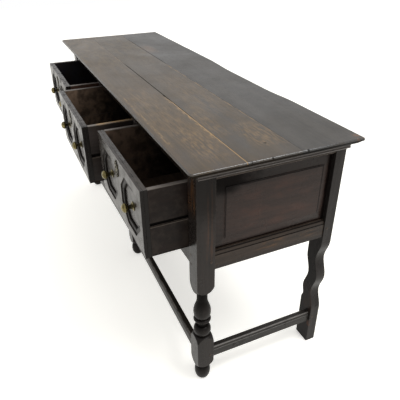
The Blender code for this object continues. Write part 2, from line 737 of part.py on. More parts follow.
for side_name, side in SIDES.items():
    front_ends = (LEG_SIZE / 2 + GAP, rail_end)
    outline = moulded_outline((-stretcher_y[1], -stretcher_y[0]), stretcher_z, stretcher_moulding, -1)
    section = outline_mesh([outline], front_ends[1] - front_ends[0])
    section.transform(Matrix.Rotation(math.pi / 2, 4, "Z"))
    run_back(moved(section, x=side * sum(front_ends) / 2), front_ends, side)
    front_tenon = tenon_of((stretcher_y, stretcher_z), TENON_SHOULDER + STRETCHER_MOULDING_HEIGHT / 2)
    front_bar = ((front_ends[0] - TENON_LENGTH, front_ends[1] + TENON_LENGTH), *front_tenon)
    bar_mesh = run_back(box_mesh(mirrored(front_bar, side)), front_ends, side)
    stretcher(f"front_stretcher_{side_name}", section, bar_mesh)
    outer_block = ((front_ends[1], front_ends[1] + TENON_LENGTH), *front_tenon)
    inner_block = ((front_ends[0] - TENON_LENGTH, front_ends[0]), *front_tenon)
    for leg_name, block in ((side_name, outer_block), ("centre", inner_block)):
        room = run_back(box_mesh(grown(mirrored(block, side))), front_ends, side)
        leg = front_legs[leg_name]
        combine(leg, cutter(f"{leg.name}_for_front_stretcher_{side_name}", room, root))
    outline = moulded_outline(stretcher_x, stretcher_z, stretcher_moulding, side)
    section = moved(outline_mesh([outline], side_ends[1] - side_ends[0]), y=sum(side_ends) / 2)
    side_span = mirrored_span(stretcher_x, side)
    side_tenon = tenon_of((side_span, stretcher_z), TENON_SHOULDER + STRETCHER_MOULDING_HEIGHT / 2)
    front_block = (side_tenon[0], (side_ends[0] - TENON_LENGTH / 2, side_ends[0]), side_tenon[1])
    rear_block = (side_tenon[0], (side_ends[1], side_ends[1] + TENON_LENGTH / 2), side_tenon[1])
    side_bar = (side_tenon[0], (front_block[1][0], rear_block[1][1]), side_tenon[1])
    stretcher(f"side_stretcher_{side_name}", section, box_mesh(side_bar))
    mortise(front_legs[side_name], "side_stretcher", front_block)
    mortise(rear_legs[side_name], "side_stretcher", rear_block)

# Runners: one on each end frame, and a double one behind each divider
runner_z = (RUNNER_Z - RUNNER_HEIGHT / 2, RUNNER_Z + RUNNER_HEIGHT / 2)
stub_z = (runner_z[0] + RUNNER_HEIGHT / 6, runner_z[1] - RUNNER_HEIGHT / 6)


def runner(name, span, stub, ends, front_holder, rear_holder, rear_stub):
    """Bearer with a stub at each end, let into what holds it"""
    front_stub = (ends[0] - STUB_LENGTH, ends[0])
    back_stub = (ends[1], ends[1] + rear_stub)
    stations = [
        (front_stub[0], stub_z, stub),
        (ends[0], stub_z, stub),
        (ends[0], runner_z, span),
        (ends[1], runner_z, span),
        (ends[1], stub_z, stub),
        (back_stub[1], stub_z, stub),
    ]
    piece(name, beam_mesh("Y", stations), LINING_OAK, root)
    mortise(front_holder, "runner", (stub, front_stub, stub_z))
    mortise(rear_holder, name, (stub, back_stub, stub_z))


for side_name, side in SIDES.items():
    end_span = mirrored_span((LEG_INNER - RUNNER_REACH, LEG_INNER + RUNNER_BACKING), side)
    end_stub = mirrored_span((LEG_INNER + RUNNER_BACKING / 4, LEG_INNER + RUNNER_BACKING * 3 / 4), side)
    runner(
        f"drawer_runner_end_{side_name}", end_span, end_stub, side_ends,
        front_legs[side_name], rear_legs[side_name], STUB_LENGTH,
    )
    middle = side * DIVIDER_X
    half_span = DIVIDER_WIDTH / 2 + RUNNER_REACH
    half_stub = DIVIDER_WIDTH / 2 - TENON_SHOULDER
    runner(
        f"drawer_runner_divider_{side_name}", (middle - half_span, middle + half_span),
        (middle - half_stub, middle + half_stub), (rail_y[1] + GAP, BACK_BOARD_FRONT - GAP),
        dividers[side_name], back_board, BACK_BOARD_THICKNESS / 2,
    )

# Top: three boards with a rounded, undercut nose along the front and the two ends
nose = [(NOSE_UNDERCUT, TOP_THICKNESS)]
nose += [(NOSE_ROUND, NOSE_HEIGHT)]
nose += quarter(nose[-1], (0.0, NOSE_HEIGHT / 2), False)
nose += quarter(nose[-1], (NOSE_ROUND, 0.0), True)
board_edges = [-TOP_DEPTH / 2]
board_edges += [board_edges[0] + FRONT_BOARD_WIDTH]
board_edges += [board_edges[1] + MIDDLE_BOARD_WIDTH, TOP_DEPTH / 2]
for order, board_name in enumerate(("front", "middle", "rear")):
    front_edge, back_edge = board_edges[order:order + 2]
    stations = []
    for inset, drop in nose:
        length = (-TOP_LENGTH / 2 + inset, TOP_LENGTH / 2 - inset)
        front_face = front_edge + inset if order == 0 else front_edge + GAP / 2
        back_face = back_edge if order == 2 else back_edge - GAP / 2
        stations.append((HEIGHT - drop, length, (front_face, back_face)))
    piece(f"top_board_{board_name}", beam_mesh("Z", stations), TOP_OAK, root)


def end_moulding_outline(side):
    """Cove under the nose that ends in a small bead"""
    inner = LEG_OUTER + GAP
    head = UNDER_TOP - GAP
    foot = head - END_MOULDING_HEIGHT
    bead_head = foot + END_MOULDING_BEAD
    lip = (inner + END_MOULDING_REACH, head - END_MOULDING_BEAD / 2)
    points = [(inner, head), (inner + END_MOULDING_REACH, head), lip]
    points += quarter(lip, (inner + END_MOULDING_FOOT, bead_head), False)
    bead_face = inner + END_MOULDING_FOOT + END_MOULDING_BEAD / 3
    points += quarter(points[-1], (bead_face, bead_head - END_MOULDING_BEAD / 2), False)
    points += [(inner + END_MOULDING_FOOT, foot), (inner, foot)]
    return [(side * x, z) for x, z in points]


for side_name, side in SIDES.items():
    section = outline_mesh([end_moulding_outline(side)], BACK_Y - FRONT_Y)
    piece(f"end_moulding_{side_name}", moved(section, y=(FRONT_Y + BACK_Y) / 2), FRAME_OAK, root)


def knob_profile():
    """Turned brass knob on its rose, with a spindle behind, tip first"""
    head_foot = ROSE_HEIGHT + KNOB_NECK_LENGTH
    widest = head_foot + KNOB_HEAD_HEIGHT * KNOB_WIDEST_SHARE
    spindle = DRAWER_FRONT_THICKNESS + SPINDLE_END
    points = [(0.0, KNOB_LENGTH)]
    points += quarter(points[-1], (KNOB_HEAD_RADIUS, widest), False)
    points += quarter(points[-1], (KNOB_NECK_RADIUS, head_foot), True)
    points += quarter(points[-1], (ROSE_RADIUS, ROSE_HEIGHT / 2), True)
    points += [(ROSE_RADIUS, 0.0), (SPINDLE_RADIUS, 0.0), (SPINDLE_RADIUS, -spindle), (0.0, -spindle)]
    return points


def escutcheon_outlines():
    """Lobed plate with a keyhole and four round piercings"""
    rim = []
    steps = LOBE_STEPS * ESCUTCHEON_LOBES
    for step in range(steps):
        angle = 2 * math.pi * step / steps
        reach = (1 - LOBE_DEPTH + LOBE_DEPTH * math.cos(ESCUTCHEON_LOBES * angle)) / 2
        across = ESCUTCHEON_WIDTH * reach * math.cos(angle)
        rim.append((across, ESCUTCHEON_HEIGHT * reach * math.sin(angle)))
    outlines = [rim, keyhole_outline()]
    for across, up in ((-1, 1), (1, 1), (-1, -1), (1, -1)):
        hole = []
        for step in range(HOLE_STEPS):
            angle = 2 * math.pi * step / HOLE_STEPS
            hole_x = across * PIERCING_ACROSS + PIERCING_RADIUS * math.cos(angle)
            hole.append((hole_x, up * PIERCING_UP + PIERCING_RADIUS * math.sin(angle)))
        outlines.append(hole)
    return outlines


def keyhole_outline():
    """Round hole with a slot below it"""
    half = KEYHOLE_SLOT_WIDTH / 2
    start = math.asin(half / KEYHOLE_RADIUS)
    head = KEYHOLE_LENGTH / 2 - KEYHOLE_RADIUS
    points = []
    for step in range(HOLE_STEPS + 1):
        angle = -math.pi / 2 + start + (2 * math.pi - 2 * start) * step / HOLE_STEPS
        points.append((KEYHOLE_RADIUS * math.cos(angle), head + KEYHOLE_RADIUS * math.sin(angle)))
    return points + [(-half, -KEYHOLE_LENGTH / 2), (half, -KEYHOLE_LENGTH / 2)]


def facing_mesh(span):
    """Half of a drawer's facing before its octagon is cut, with a long chamfer along its foot"""
    section = [(0.0, DRAWER_HEAD), (FACING_THICKNESS, DRAWER_HEAD), (FACING_THICKNESS, DRAWER_FOOT)]
    section += [(CHAMFER_DEPTH, DRAWER_FOOT), (0.0, DRAWER_FOOT + CHAMFER_HEIGHT)]
    return lofted_mesh([[(x, depth, height) for depth, height in section] for x in span])


def facing_opening(x):
    """Tool for one octagon: a square sinking, a flat and an ovolo down to the board behind"""
    half_width = FIELD_X - FACING_STILE
    half_height = DRAWER_MIDDLE_Z - DRAWER_FOOT - FACING_RAIL
    ovolo_head = (SINKING_WIDTH, SINKING_DEPTH)
    ovolo_foot = (SINKING_WIDTH + OVOLO_WIDTH, FACING_THICKNESS - OVOLO_FOOT)
    rows = [(0.0, -FACING_THICKNESS), (0.0, SINKING_DEPTH), ovolo_head]
    rows += quarter(ovolo_head, ovolo_foot, False)
    rows += [(ovolo_foot[0], 2 * FACING_THICKNESS)]
    sections = []
    for inset, depth in rows:
        across = half_width - inset
        up = half_height - inset
        cant = FACING_CANT - inset * (2 - math.sqrt(2))
        corners = [(across, up - cant), (across - cant, up), (cant - across, up), (-across, up - cant)]
        corners += [(-far, -high) for far, high in corners]
        sections.append([(x + far, depth, DRAWER_MIDDLE_Z + high) for far, high in corners])
    return lofted_mesh(sections)


def spindle_hole(target, x):
    """Round hole right through a piece for a knob's spindle"""
    rounded = bmesh.new()
    radius = SPINDLE_RADIUS + GAP
    bmesh.ops.create_cone(
        rounded, cap_ends=True, segments=KNOB_STEPS, radius1=radius, radius2=radius, depth=4 * BOARD_BACK
    )
    mesh = bpy.data.meshes.new("spindle")
    rounded.to_mesh(mesh)
    rounded.free()
    mesh.transform(Matrix.Rotation(math.pi / 2, 4, "X"))
    moved(mesh, x=x, z=DRAWER_MIDDLE_Z)
    combine(target, cutter(f"{target.name}_spindle", mesh, target.parent))


def drawer(bay, middle, pull):
    """One drawer, on a handle at the middle of its front face, drawn out by its pull"""
    body = empty(f"drawer_{bay}", root, (middle, FRONT_Y - pull, 0.0))
    half = DRAWER_WIDTH / 2
    front_z = (DRAWER_FOOT, DRAWER_HEAD)
    front = piece(
        f"drawer_{bay}_front", box_mesh(((-half, half), (BOARD_FACE, BOARD_BACK), front_z)), FRAME_OAK, body
    )
    shoulder = BOARD_BACK + GAP
    tongue_y = (shoulder - HOUSING_DEPTH, shoulder)
    side_z = (SIDE_FOOT, DRAWER_HEAD)
    tongue_z = (SIDE_FOOT + TENON_SHOULDER, DRAWER_HEAD - TENON_SHOULDER)
    inside = half - DRAWER_SIDE_THICKNESS
    cheek = inside + HOUSING_SHOULDER
    groove_depth = RUNNER_REACH - DRAWER_SIDE_PLAY + RUNNER_TIP_PLAY
    for side_name, side in SIDES.items():
        side_x = mirrored_span((inside, half), side)
        tongue_x = mirrored_span((cheek, cheek + HOUSING_WIDTH), side)
        stations = [
            (tongue_y[0], tongue_z, tongue_x),
            (shoulder, tongue_z, tongue_x),
            (shoulder, side_z, side_x),
            (DRAWER_DEPTH, side_z, side_x),
        ]
        made = piece(f"drawer_{bay}_side_{side_name}", beam_mesh("Y", stations), LINING_OAK, body)
        mortise(front, f"side_{side_name}", (tongue_x, tongue_y, tongue_z))
        groove_x = mirrored_span((half - groove_depth, half + groove_depth), side)
        groove_y = (shoulder - HOUSING_DEPTH, DRAWER_DEPTH + HOUSING_DEPTH)
        mortise(made, "runner", (groove_x, groove_y, runner_z))
    back_box = (
        (-inside + GAP, inside - GAP),
        (DRAWER_DEPTH - DRAWER_BACK_THICKNESS, DRAWER_DEPTH),
        (SIDE_FOOT, DRAWER_HEAD - DRAWER_BACK_DROP),
    )
    piece(f"drawer_{bay}_back", box_mesh(back_box), LINING_OAK, body)
    bottom_box = (
        (-half + DRAWER_BOTTOM_INSET, half - DRAWER_BOTTOM_INSET),
        (BOARD_BACK - HOUSING_DEPTH, DRAWER_DEPTH),
        (DRAWER_FOOT, DRAWER_FOOT + DRAWER_BOTTOM_THICKNESS),
    )
    piece(f"drawer_{bay}_bottom", box_mesh(bottom_box), LINING_OAK, body)
    mortise(front, "bottom", bottom_box)
    plate_z = DRAWER_HEAD - ESCUTCHEON_DROP - ESCUTCHEON_HEIGHT / 2
    plate = moved(outline_mesh(escutcheon_outlines(), ESCUTCHEON_THICKNESS), z=plate_z)
    plate_y = -GAP - ESCUTCHEON_THICKNESS / 2
    piece(f"drawer_{bay}_escutcheon", moved(plate, y=plate_y), BRASS, body)
    keyhole = moved(outline_mesh([keyhole_outline()], 4 * BOARD_BACK), z=plate_z)
    key_way = cutter(f"drawer_{bay}_keyhole", keyhole, body)
    combine(front, key_way)
    for side_name, side in SIDES.items():
        field_x = side * FIELD_X
        plain_half = facing_mesh(mirrored_span((GAP / 2, half), side))
        field = piece(f"drawer_{bay}_field_{side_name}", plain_half, FRAME_OAK, body)
        combine(field, cutter(f"drawer_{bay}_octagon_{side_name}", facing_opening(field_x), body))
        combine(field, key_way)
        spindle_hole(front, field_x)
        knob = piece(f"drawer_{bay}_knob_{side_name}", profile_mesh(knob_profile()), BRASS, body)
        knob.location = (field_x, KNOB_SEAT, DRAWER_MIDDLE_Z)
        knob.rotation_euler = (math.pi / 2, 0.0, 0.0)
        turn_profile(knob, KNOB_STEPS)


for place, (bay, pull) in enumerate(PULLS.items()):
    drawer(bay, (place - 1) * BAY_PITCH, pull)
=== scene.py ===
"""Looks of a joined oak dresser base with its drawers part open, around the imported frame."""
import math

import bmesh
import bpy
from mathutils import Matrix, Vector, noise


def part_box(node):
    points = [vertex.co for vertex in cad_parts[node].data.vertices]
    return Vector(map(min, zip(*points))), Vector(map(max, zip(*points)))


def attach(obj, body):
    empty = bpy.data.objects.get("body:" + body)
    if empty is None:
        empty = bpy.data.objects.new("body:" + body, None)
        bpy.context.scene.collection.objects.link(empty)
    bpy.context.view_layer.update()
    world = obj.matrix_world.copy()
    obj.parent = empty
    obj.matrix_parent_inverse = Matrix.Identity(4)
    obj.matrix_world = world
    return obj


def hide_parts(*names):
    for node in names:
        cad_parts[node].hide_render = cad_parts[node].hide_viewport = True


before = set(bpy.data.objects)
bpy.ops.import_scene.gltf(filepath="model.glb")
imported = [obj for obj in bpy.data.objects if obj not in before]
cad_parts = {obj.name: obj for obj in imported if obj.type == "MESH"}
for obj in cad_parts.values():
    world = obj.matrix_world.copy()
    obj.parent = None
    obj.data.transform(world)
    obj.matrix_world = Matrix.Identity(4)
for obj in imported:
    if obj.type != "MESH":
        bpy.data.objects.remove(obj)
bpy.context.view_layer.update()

# Front legs: oak billets, left square where rails and stretchers are tenoned in and turned between:
# a vase, a ring and a cup over the lower block, and a ball foot. Waxed almost black.
LEG_SIZE = 0.0575
LEG_ARRIS = 0.0008
ROUND_STEPS = 7
SMOOTH_ANGLE = math.radians(50)
WELD = 0.00002
AXES = {"X": 0, "Y": 1, "Z": 2}
STAIN_WANDER = 0.018
WANDER_REACH = 1.6
# A mark with no channel above this lies dry over the wax, painted shade as well as black dirt
DRY_MARK_LIMIT = 0.0105
# Warm near-black for painted shade
PAINTED_SHADE_WARM = (0.008, 0.006, 0.005)


class Layer:
    """One output of a finish's nodes; sums and products of layers add the nodes that work them out"""

    def __init__(self, tree, socket=None):
        self.tree = tree
        self.socket = socket

    def node(self, kind, settings=None, inputs=None, output=0):
        made = self.tree.nodes.new("ShaderNode" + kind)
        for name, value in (settings or {}).items():
            setattr(made, name, value)
        for name, value in (inputs or {}).items():
            if isinstance(value, Layer):
                self.tree.links.new(value.socket, made.inputs[name])
            else:
                made.inputs[name].default_value = value
        return Layer(self.tree, made.outputs[output])

    def math(self, operation, first, second):
        return self.node("Math", {"operation": operation}, {0: first, 1: second})

    def __add__(self, other):
        return self.math("ADD", self, other)

    __radd__ = __add__

    def __sub__(self, other):
        return self.math("SUBTRACT", self, other)

    def __rsub__(self, other):
        return self.math("SUBTRACT", other, self)

    def __mul__(self, other):
        return self.math("MULTIPLY", self, other)

    __rmul__ = __mul__

    def size(self):
        return self.math("ABSOLUTE", self, 0.0)

    def rise(self, low, high):
        """Smooth step from 0 at low to 1 at high"""
        ends = {"Value": self, "From Min": low, "From Max": high}
        return self.node("MapRange", {"interpolation_type": "SMOOTHSTEP"}, ends)

    def axis(self, letter):
        return self.node("SeparateXYZ", inputs={0: self}, output=AXES[letter])

    def noise(self, size, detail=3.0, warp=0.0):
        """Cloudy variation of about this size, one length for each axis or one for all"""
        sizes = size if isinstance(size, tuple) else (size, size, size)
        fitted = self.node("Mapping", inputs={"Vector": self, "Scale": [1 / length for length in sizes]})
        cloud = {"Vector": fitted, "Scale": 1.0, "Detail": detail, "Roughness": 0.55, "Distortion": warp}
        return self.node("TexNoise", inputs=cloud)

    def blend(self, under, over):
        """Colour that goes from under to over as this layer goes from 0 to 1"""
        colours = [paint if isinstance(paint, Layer) else (*paint, 1.0) for paint in (under, over)]
        return self.node("Mix", {"data_type": "RGBA"}, {0: self, 6: colours[0], 7: colours[1]}, 2)


def feed(shader, name, layer):
    """Join a layer to one of the shader's own sockets"""
    layer.tree.links.new(layer.socket, shader.inputs[name])


def patch(paint, strength, x=None, y=None, z=None, broken=None):
    """Stain or wear on one place of a piece, laid over its colour.

    A span is where it starts and ends along that axis and how softly. Broken gives the size of the
    clouds that break it up.
    """
    def mark(place):
        wander = place.noise(STAIN_WANDER) - 0.5
        mask = strength
        for letter, span in zip("XYZ", (x, y, z)):
            if span:
                start, end, soft = span
                along = place.axis(letter) + wander * (WANDER_REACH * soft)
                begun = along.rise(start - soft, start + soft)
                mask = begun * (1 - along.rise(end - soft, end + soft)) * mask
        if broken:
            mask = place.noise(broken, detail=5.0).rise(0.42, 0.66) * mask
        return mask, paint

    return mark


def bare_finish(name):
    """New material, its shader, and the place on the piece that its patterns follow"""
    material = bpy.data.materials.new(name)
    material.use_nodes = True
    place = Layer(material.node_tree).node("TexCoord", output="Object")
    return material, material.node_tree.nodes["Principled BSDF"], place


def coated(material, shader, share, coat):
    """The material with a second finish laid over its shader, as far as share says"""
    under = Layer(material.node_tree, shader.outputs[0])
    surface = under.node("MixShader", inputs={0: share, 1: under, 2: coat})
    feed(material.node_tree.nodes["Material Output"], "Surface", surface)
    return material


def oak(
    name, grain, deep, pale, worn, polish, gloss=1.25,
    edge_wear=0.75, even_wear=0.0, edge_shine=0.10, marks=(),
):
    """Waxed oak: figure, streaks, fibres and pores along the grain, patchy polish, rubbed edges, grime.

    The mesh's own arris and grime values say where edges are rubbed, where dirt has settled and, on turnings
    and facings, where shade is painted. Grime and the blackest marks, painted shade too, lie dry over the
    wax.
    """
    material, shader, place = bare_finish(name)

    def lengthwise(width, length):
        return tuple(length if axis == grain else width for axis in "XYZ")

    figure = place.noise(lengthwise(width=0.040, length=0.60), detail=4.0, warp=0.9)
    streaks = place.noise(lengthwise(width=0.0085, length=0.30), detail=3.0, warp=0.5)
    fibre = place.noise(lengthwise(width=0.0026, length=0.11), detail=3.0, warp=0.3)
    pores = place.noise(lengthwise(width=0.0010, length=0.024), detail=1.0).rise(0.60, 0.72)
    patina = place.noise(0.21, detail=4.0, warp=0.4)
    dirt = place.noise(0.045, detail=4.0)
    tone = figure.rise(0.32, 0.68) * 0.40 + streaks.rise(0.30, 0.70) * 0.30
    tone = tone + fibre.rise(0.30, 0.70) * 0.20 + patina.rise(0.35, 0.65) * 0.10
    colour = tone.blend(deep, pale)
    soot = [channel * 0.30 for channel in deep]
    colour = (pores * 0.65).blend(colour, soot)
    arris = place.node("Attribute", {"attribute_name": "arris"}, output="Fac")
    rubbed_edge = arris * (dirt.rise(0.36, 0.60) * edge_wear + even_wear)
    colour = rubbed_edge.blend(colour, worn)
    grime = place.node("Attribute", {"attribute_name": "grime"}, output="Fac")
    dry = grime * (0.75 + dirt * 0.35)
    for mark in marks:
        mask, paint = mark(place)
        colour = mask.blend(colour, paint)
        if max(paint) < DRY_MARK_LIMIT:
            dry = dry.math("MAXIMUM", dry, mask)
    feed(shader, "Base Color", colour)
    shine = polish + (patina - 0.5) * 0.26 + (dirt - 0.5) * 0.12 + pores * 0.08 - arris * edge_shine
    feed(shader, "Roughness", shine)
    relief = figure * 0.35 + streaks * 0.25 + fibre * 0.30 - pores * 0.45 + dirt * 0.5
    bump = place.node("Bump", inputs={"Strength": 0.35, "Distance": 0.0007, "Height": relief})
    feed(shader, "Normal", bump)
    shader.inputs["IOR"].default_value = gloss
    black = {"Base Color": (*soot, 1.0), "Roughness": 0.85, "IOR": 1.12, "Normal": bump}
    return coated(material, shader, dry, place.node("BsdfPrincipled", inputs=black))


def finished(built, name):
    """Mesh of a built piece, smooth but for its sharp edges"""
    mesh = bpy.data.meshes.new(name)
    built.to_mesh(mesh)
    built.free()
    mesh.shade_smooth()
    mesh.set_sharp_from_angle(angle=SMOOTH_ANGLE)
    return mesh


def show(name, mesh, finish, body, slot, *nodes):
    """Piece on the body that carries it, standing for its CAD nodes"""
    mesh.materials.clear()
    mesh.materials.append(finish)
    piece = bpy.data.objects.new(name, mesh)
    bpy.context.scene.collection.objects.link(piece)
    even = piece.modifiers.new("even_shading", "WEIGHTED_NORMAL")
    even.keep_sharp = True
    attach(piece, body)
    if nodes:
        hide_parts(*nodes)


def quarter(start, end, upright_first):
    """Quarter round between two profile points, without its first point"""
    points = []
    for step in range(1, ROUND_STEPS + 1):
        angle = math.pi / 2 * step / ROUND_STEPS
        slow, fast = 1 - math.cos(angle), math.sin(angle)
        across, up = (slow, fast) if upright_first else (fast, slow)
        points.append((start[0] + (end[0] - start[0]) * across, start[1] + (end[1] - start[1]) * up))
    return points


def ogee(start, end):
    """Smooth double curve between two profile points, without its first point"""
    points = []
    for step in range(1, 2 * ROUND_STEPS + 1):
        share = step / (2 * ROUND_STEPS)
        ease = (1 - math.cos(math.pi * share)) / 2
        points.append((start[0] + (end[0] - start[0]) * ease, start[1] + (end[1] - start[1]) * share))
    return points


def turned(profile, steps):
    """Solid spun about Z from a profile of radius and height that starts and ends on the axis"""
    built = bmesh.new()
    verts = [built.verts.new((radius, 0.0, height)) for radius, height in profile]
    edges = [built.edges.new(pair) for pair in zip(verts, verts[1:])]
    bmesh.ops.spin(
        built, geom=verts + edges, cent=(0, 0, 0), axis=(0, 0, 1), angle=2 * math.pi, steps=steps,
        use_merge=True, use_duplicate=False,
    )
    bmesh.ops.remove_doubles(built, verts=built.verts, dist=WELD)
    bmesh.ops.recalc_face_normals(built, faces=built.faces)
    return built


TURNING_STEPS = 72
TURNING_SPARE = 0.0025
NECK_RADIUS = 0.0170
SWELL_RADIUS = 0.0282
FILLET_RADIUS = 0.0216
WAIST_RADIUS = 0.0150
COLLAR_RADIUS = 0.0222
ANKLE_RADIUS = 0.0165
BALL_NECK_RADIUS = 0.0160
BALL_RADIUS = 0.0266
SOLE_RADIUS = 0.0130
SHOULDER = 0.4355
NECK_HEAD = 0.3855
NECK_FOOT = 0.3540
VASE_WIDEST = 0.3050
VASE_FOOT = 0.2805
RING_HEAD = 0.2770
RING_FOOT = 0.2645
WAIST_HEAD = 0.2610
WAIST_FOOT = 0.2435
CUP_WIDEST = 0.2265
CUP_FOOT = 0.2085
COLLAR_FOOT = 0.2035
BLOCK_HEAD = 0.1550
BLOCK_FOOT = 0.1115
ANKLE = 0.0635
BALL_HEAD = 0.0590
BALL_WIDEST = 0.0310


def leg_profile(top):
    """Turning of a front leg, from its top down to the ball foot"""
    full = LEG_SIZE * math.sqrt(0.5) + TURNING_SPARE
    points = [(0.0, top), (full, top), (full, SHOULDER)]
    points += quarter(points[-1], (NECK_RADIUS, NECK_HEAD), upright_first=True)
    points += [(NECK_RADIUS, NECK_FOOT)]
    points += ogee(points[-1], (SWELL_RADIUS, VASE_WIDEST))
    points += quarter(points[-1], (FILLET_RADIUS, VASE_FOOT), upright_first=True)
    points += [(FILLET_RADIUS, RING_HEAD)]
    points += quarter(points[-1], (SWELL_RADIUS, (RING_HEAD + RING_FOOT) / 2), upright_first=False)
    points += quarter(points[-1], (FILLET_RADIUS, RING_FOOT), upright_first=True)
    points += [(WAIST_RADIUS, WAIST_HEAD), (WAIST_RADIUS, WAIST_FOOT)]
    points += quarter(points[-1], (SWELL_RADIUS, CUP_WIDEST), upright_first=False)
    points += quarter(points[-1], (COLLAR_RADIUS, CUP_FOOT), upright_first=True)
    points += [(COLLAR_RADIUS, COLLAR_FOOT)]
    points += quarter(points[-1], (full, BLOCK_HEAD), upright_first=False)
    points += [(full, BLOCK_FOOT)]
    points += quarter(points[-1], (ANKLE_RADIUS, ANKLE), upright_first=True)
    points += [(BALL_NECK_RADIUS, BALL_HEAD)]
    points += quarter(points[-1], (BALL_RADIUS, BALL_WIDEST), upright_first=False)
    points += quarter(points[-1], (SOLE_RADIUS, 0.0), upright_first=True)
    return points + [(0.0, 0.0)]


def block(low, high, round_edges=0.0, upright_only=False):
    """Rectangular block between two corners, with all its edges or only the upright ones rounded"""
    built = bmesh.new()
    bmesh.ops.create_cube(built, size=1.0)
    middle = (Vector(low) + Vector(high)) / 2
    bmesh.ops.scale(built, vec=Vector(high) - Vector(low), verts=built.verts)
    bmesh.ops.translate(built, vec=middle, verts=built.verts)
    if round_edges:
        edges = [
            edge for edge in built.edges
            if not upright_only or abs(edge.verts[0].co.z - edge.verts[1].co.z) > WELD
        ]
        bmesh.ops.bevel(
            built, geom=edges, offset=round_edges, segments=3, profile=0.5, affect="EDGES", material=-1
        )
    return built


def cut_from(solid, billet):
    """What a turning leaves of a square billet"""
    pieces = []
    for part_name, built in (("turning", solid), ("billet", billet)):
        mesh = bpy.data.meshes.new(part_name)
        built.to_mesh(mesh)
        built.free()
        pieces.append(bpy.data.objects.new(part_name, mesh))
        bpy.context.scene.collection.objects.link(pieces[-1])
    shared = pieces[0].modifiers.new("shared", "BOOLEAN")
    shared.operation = "INTERSECT"
    shared.solver = "EXACT"
    shared.object = pieces[1]
    graph = bpy.context.evaluated_depsgraph_get()
    built = bmesh.new()
    built.from_mesh(pieces[0].evaluated_get(graph).to_mesh())
    for part in pieces:
        bpy.data.objects.remove(part, do_unlink=True)
    bmesh.ops.remove_doubles(built, verts=built.verts, dist=WELD)
    return built


CORNER_REACH = 0.0385
CORNER_WEAR = 0.6
# Grime and painted shade on the turned parts, from the block up to the shoulder and on the foot, darkest
# where narrowest
GRIMY_SHADED_BELOW_SHOULDER = 0.43
GRIMY_SHADED_BELOW_BLOCK = 0.10
GRIME_AND_SHADE_RADIUS = 0.0320
GRIME_AND_SHADE_FADE = 0.016
LEAST_GRIME_AND_SHADE = 0.30
MOST_GRIME_AND_SHADE = 0.85


def clamped(value, low=0.0, high=1.0):
    """Value held between two ends"""
    return min(high, max(low, value))


def worn_shaded_turning(built, middle):
    """Mark the corners of the square parts as rubbed, and the turned parts as grimy with painted shade,
    darkest where narrowest
    """
    arris = built.faces.layers.float.new("arris")
    grime = built.faces.layers.float.new("grime")
    for face in built.faces:
        place = face.calc_center_median()
        reach = math.hypot(place.x - middle.x, place.y - middle.y)
        if reach > CORNER_REACH:
            face[arris] = CORNER_WEAR
        elif BLOCK_HEAD < place.z < GRIMY_SHADED_BELOW_SHOULDER or place.z < GRIMY_SHADED_BELOW_BLOCK:
            face[grime] = clamped((GRIME_AND_SHADE_RADIUS - reach) / GRIME_AND_SHADE_FADE, LEAST_GRIME_AND_SHADE, MOST_GRIME_AND_SHADE)
    return built


# Marks, in order: rubbed brown outside, painted shade under the top outside, orange wear in front, a pale
# back corner
leg_low, leg_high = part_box("front_leg_right")
outer_face = (leg_high.x - 0.002, 1.0, 0.001)
outer_corner = (leg_high.x - 0.004, 1.0, 0.001)
back_corner = (leg_high.y - 0.0016, leg_high.y, 0.0006)
leg_oak = oak(
    "leg_oak", "Z", deep=(0.009, 0.0073, 0.0065), pale=(0.030, 0.0235, 0.0205), worn=(0.11, 0.090, 0.078),
    polish=0.26,
    marks=(
        patch((0.062, 0.033, 0.021), 0.75, x=outer_face, y=(-0.112, -0.086, 0.006), z=(0.52, 0.78, 0.03),
              broken=(0.02, 0.006, 0.10)),
        # Painted shade on the outer face under the top
        patch(PAINTED_SHADE_WARM, 0.40, x=outer_face, z=(0.66, 0.9, 0.05)),
        patch((0.100, 0.042, 0.013), 0.80, x=(0.70, leg_high.x - 0.006, 0.004),
              y=(-0.2, leg_high.y - 0.055, 0.001), z=(0.68, 0.80, 0.03), broken=(0.006, 0.02, 0.09)),
        patch((0.10, 0.085, 0.072), 0.45, x=outer_corner, y=back_corner, z=(0.70, 0.77, 0.01)),
    ),
)
joint_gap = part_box("top_board_front")[0].z - leg_high.z
frame_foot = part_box("front_bottom_rail")[0].z
for side in ("right", "left", "centre"):
    node = f"front_leg_{side}"
    low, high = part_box(node)
    head = frame_foot - joint_gap if side == "centre" else high.z
    middle = (low + high) / 2
    turning = turned(leg_profile(head + LEG_SIZE), TURNING_STEPS)
    bmesh.ops.translate(turning, vec=(middle.x, middle.y, 0.0), verts=turning.verts)
    billet = block((low.x, low.y, -LEG_SIZE), (high.x, high.y, head), LEG_ARRIS, upright_only=True)
    leg = worn_shaded_turning(cut_from(turning, billet), middle)
    show(f"turned_leg_{side}", finished(leg, node), leg_oak, "carcass", "frame_oak", node)


# Rear legs: flat oak boards with both edges sawn to a wave between the rail and the stretcher,
# rubbed round along the arrises. Waxed like the front legs, and nearly as dark.
REAR_ARRIS = 0.0020
SHARP_BEND = math.radians(28)
FLAT_BEND = math.radians(0.5)


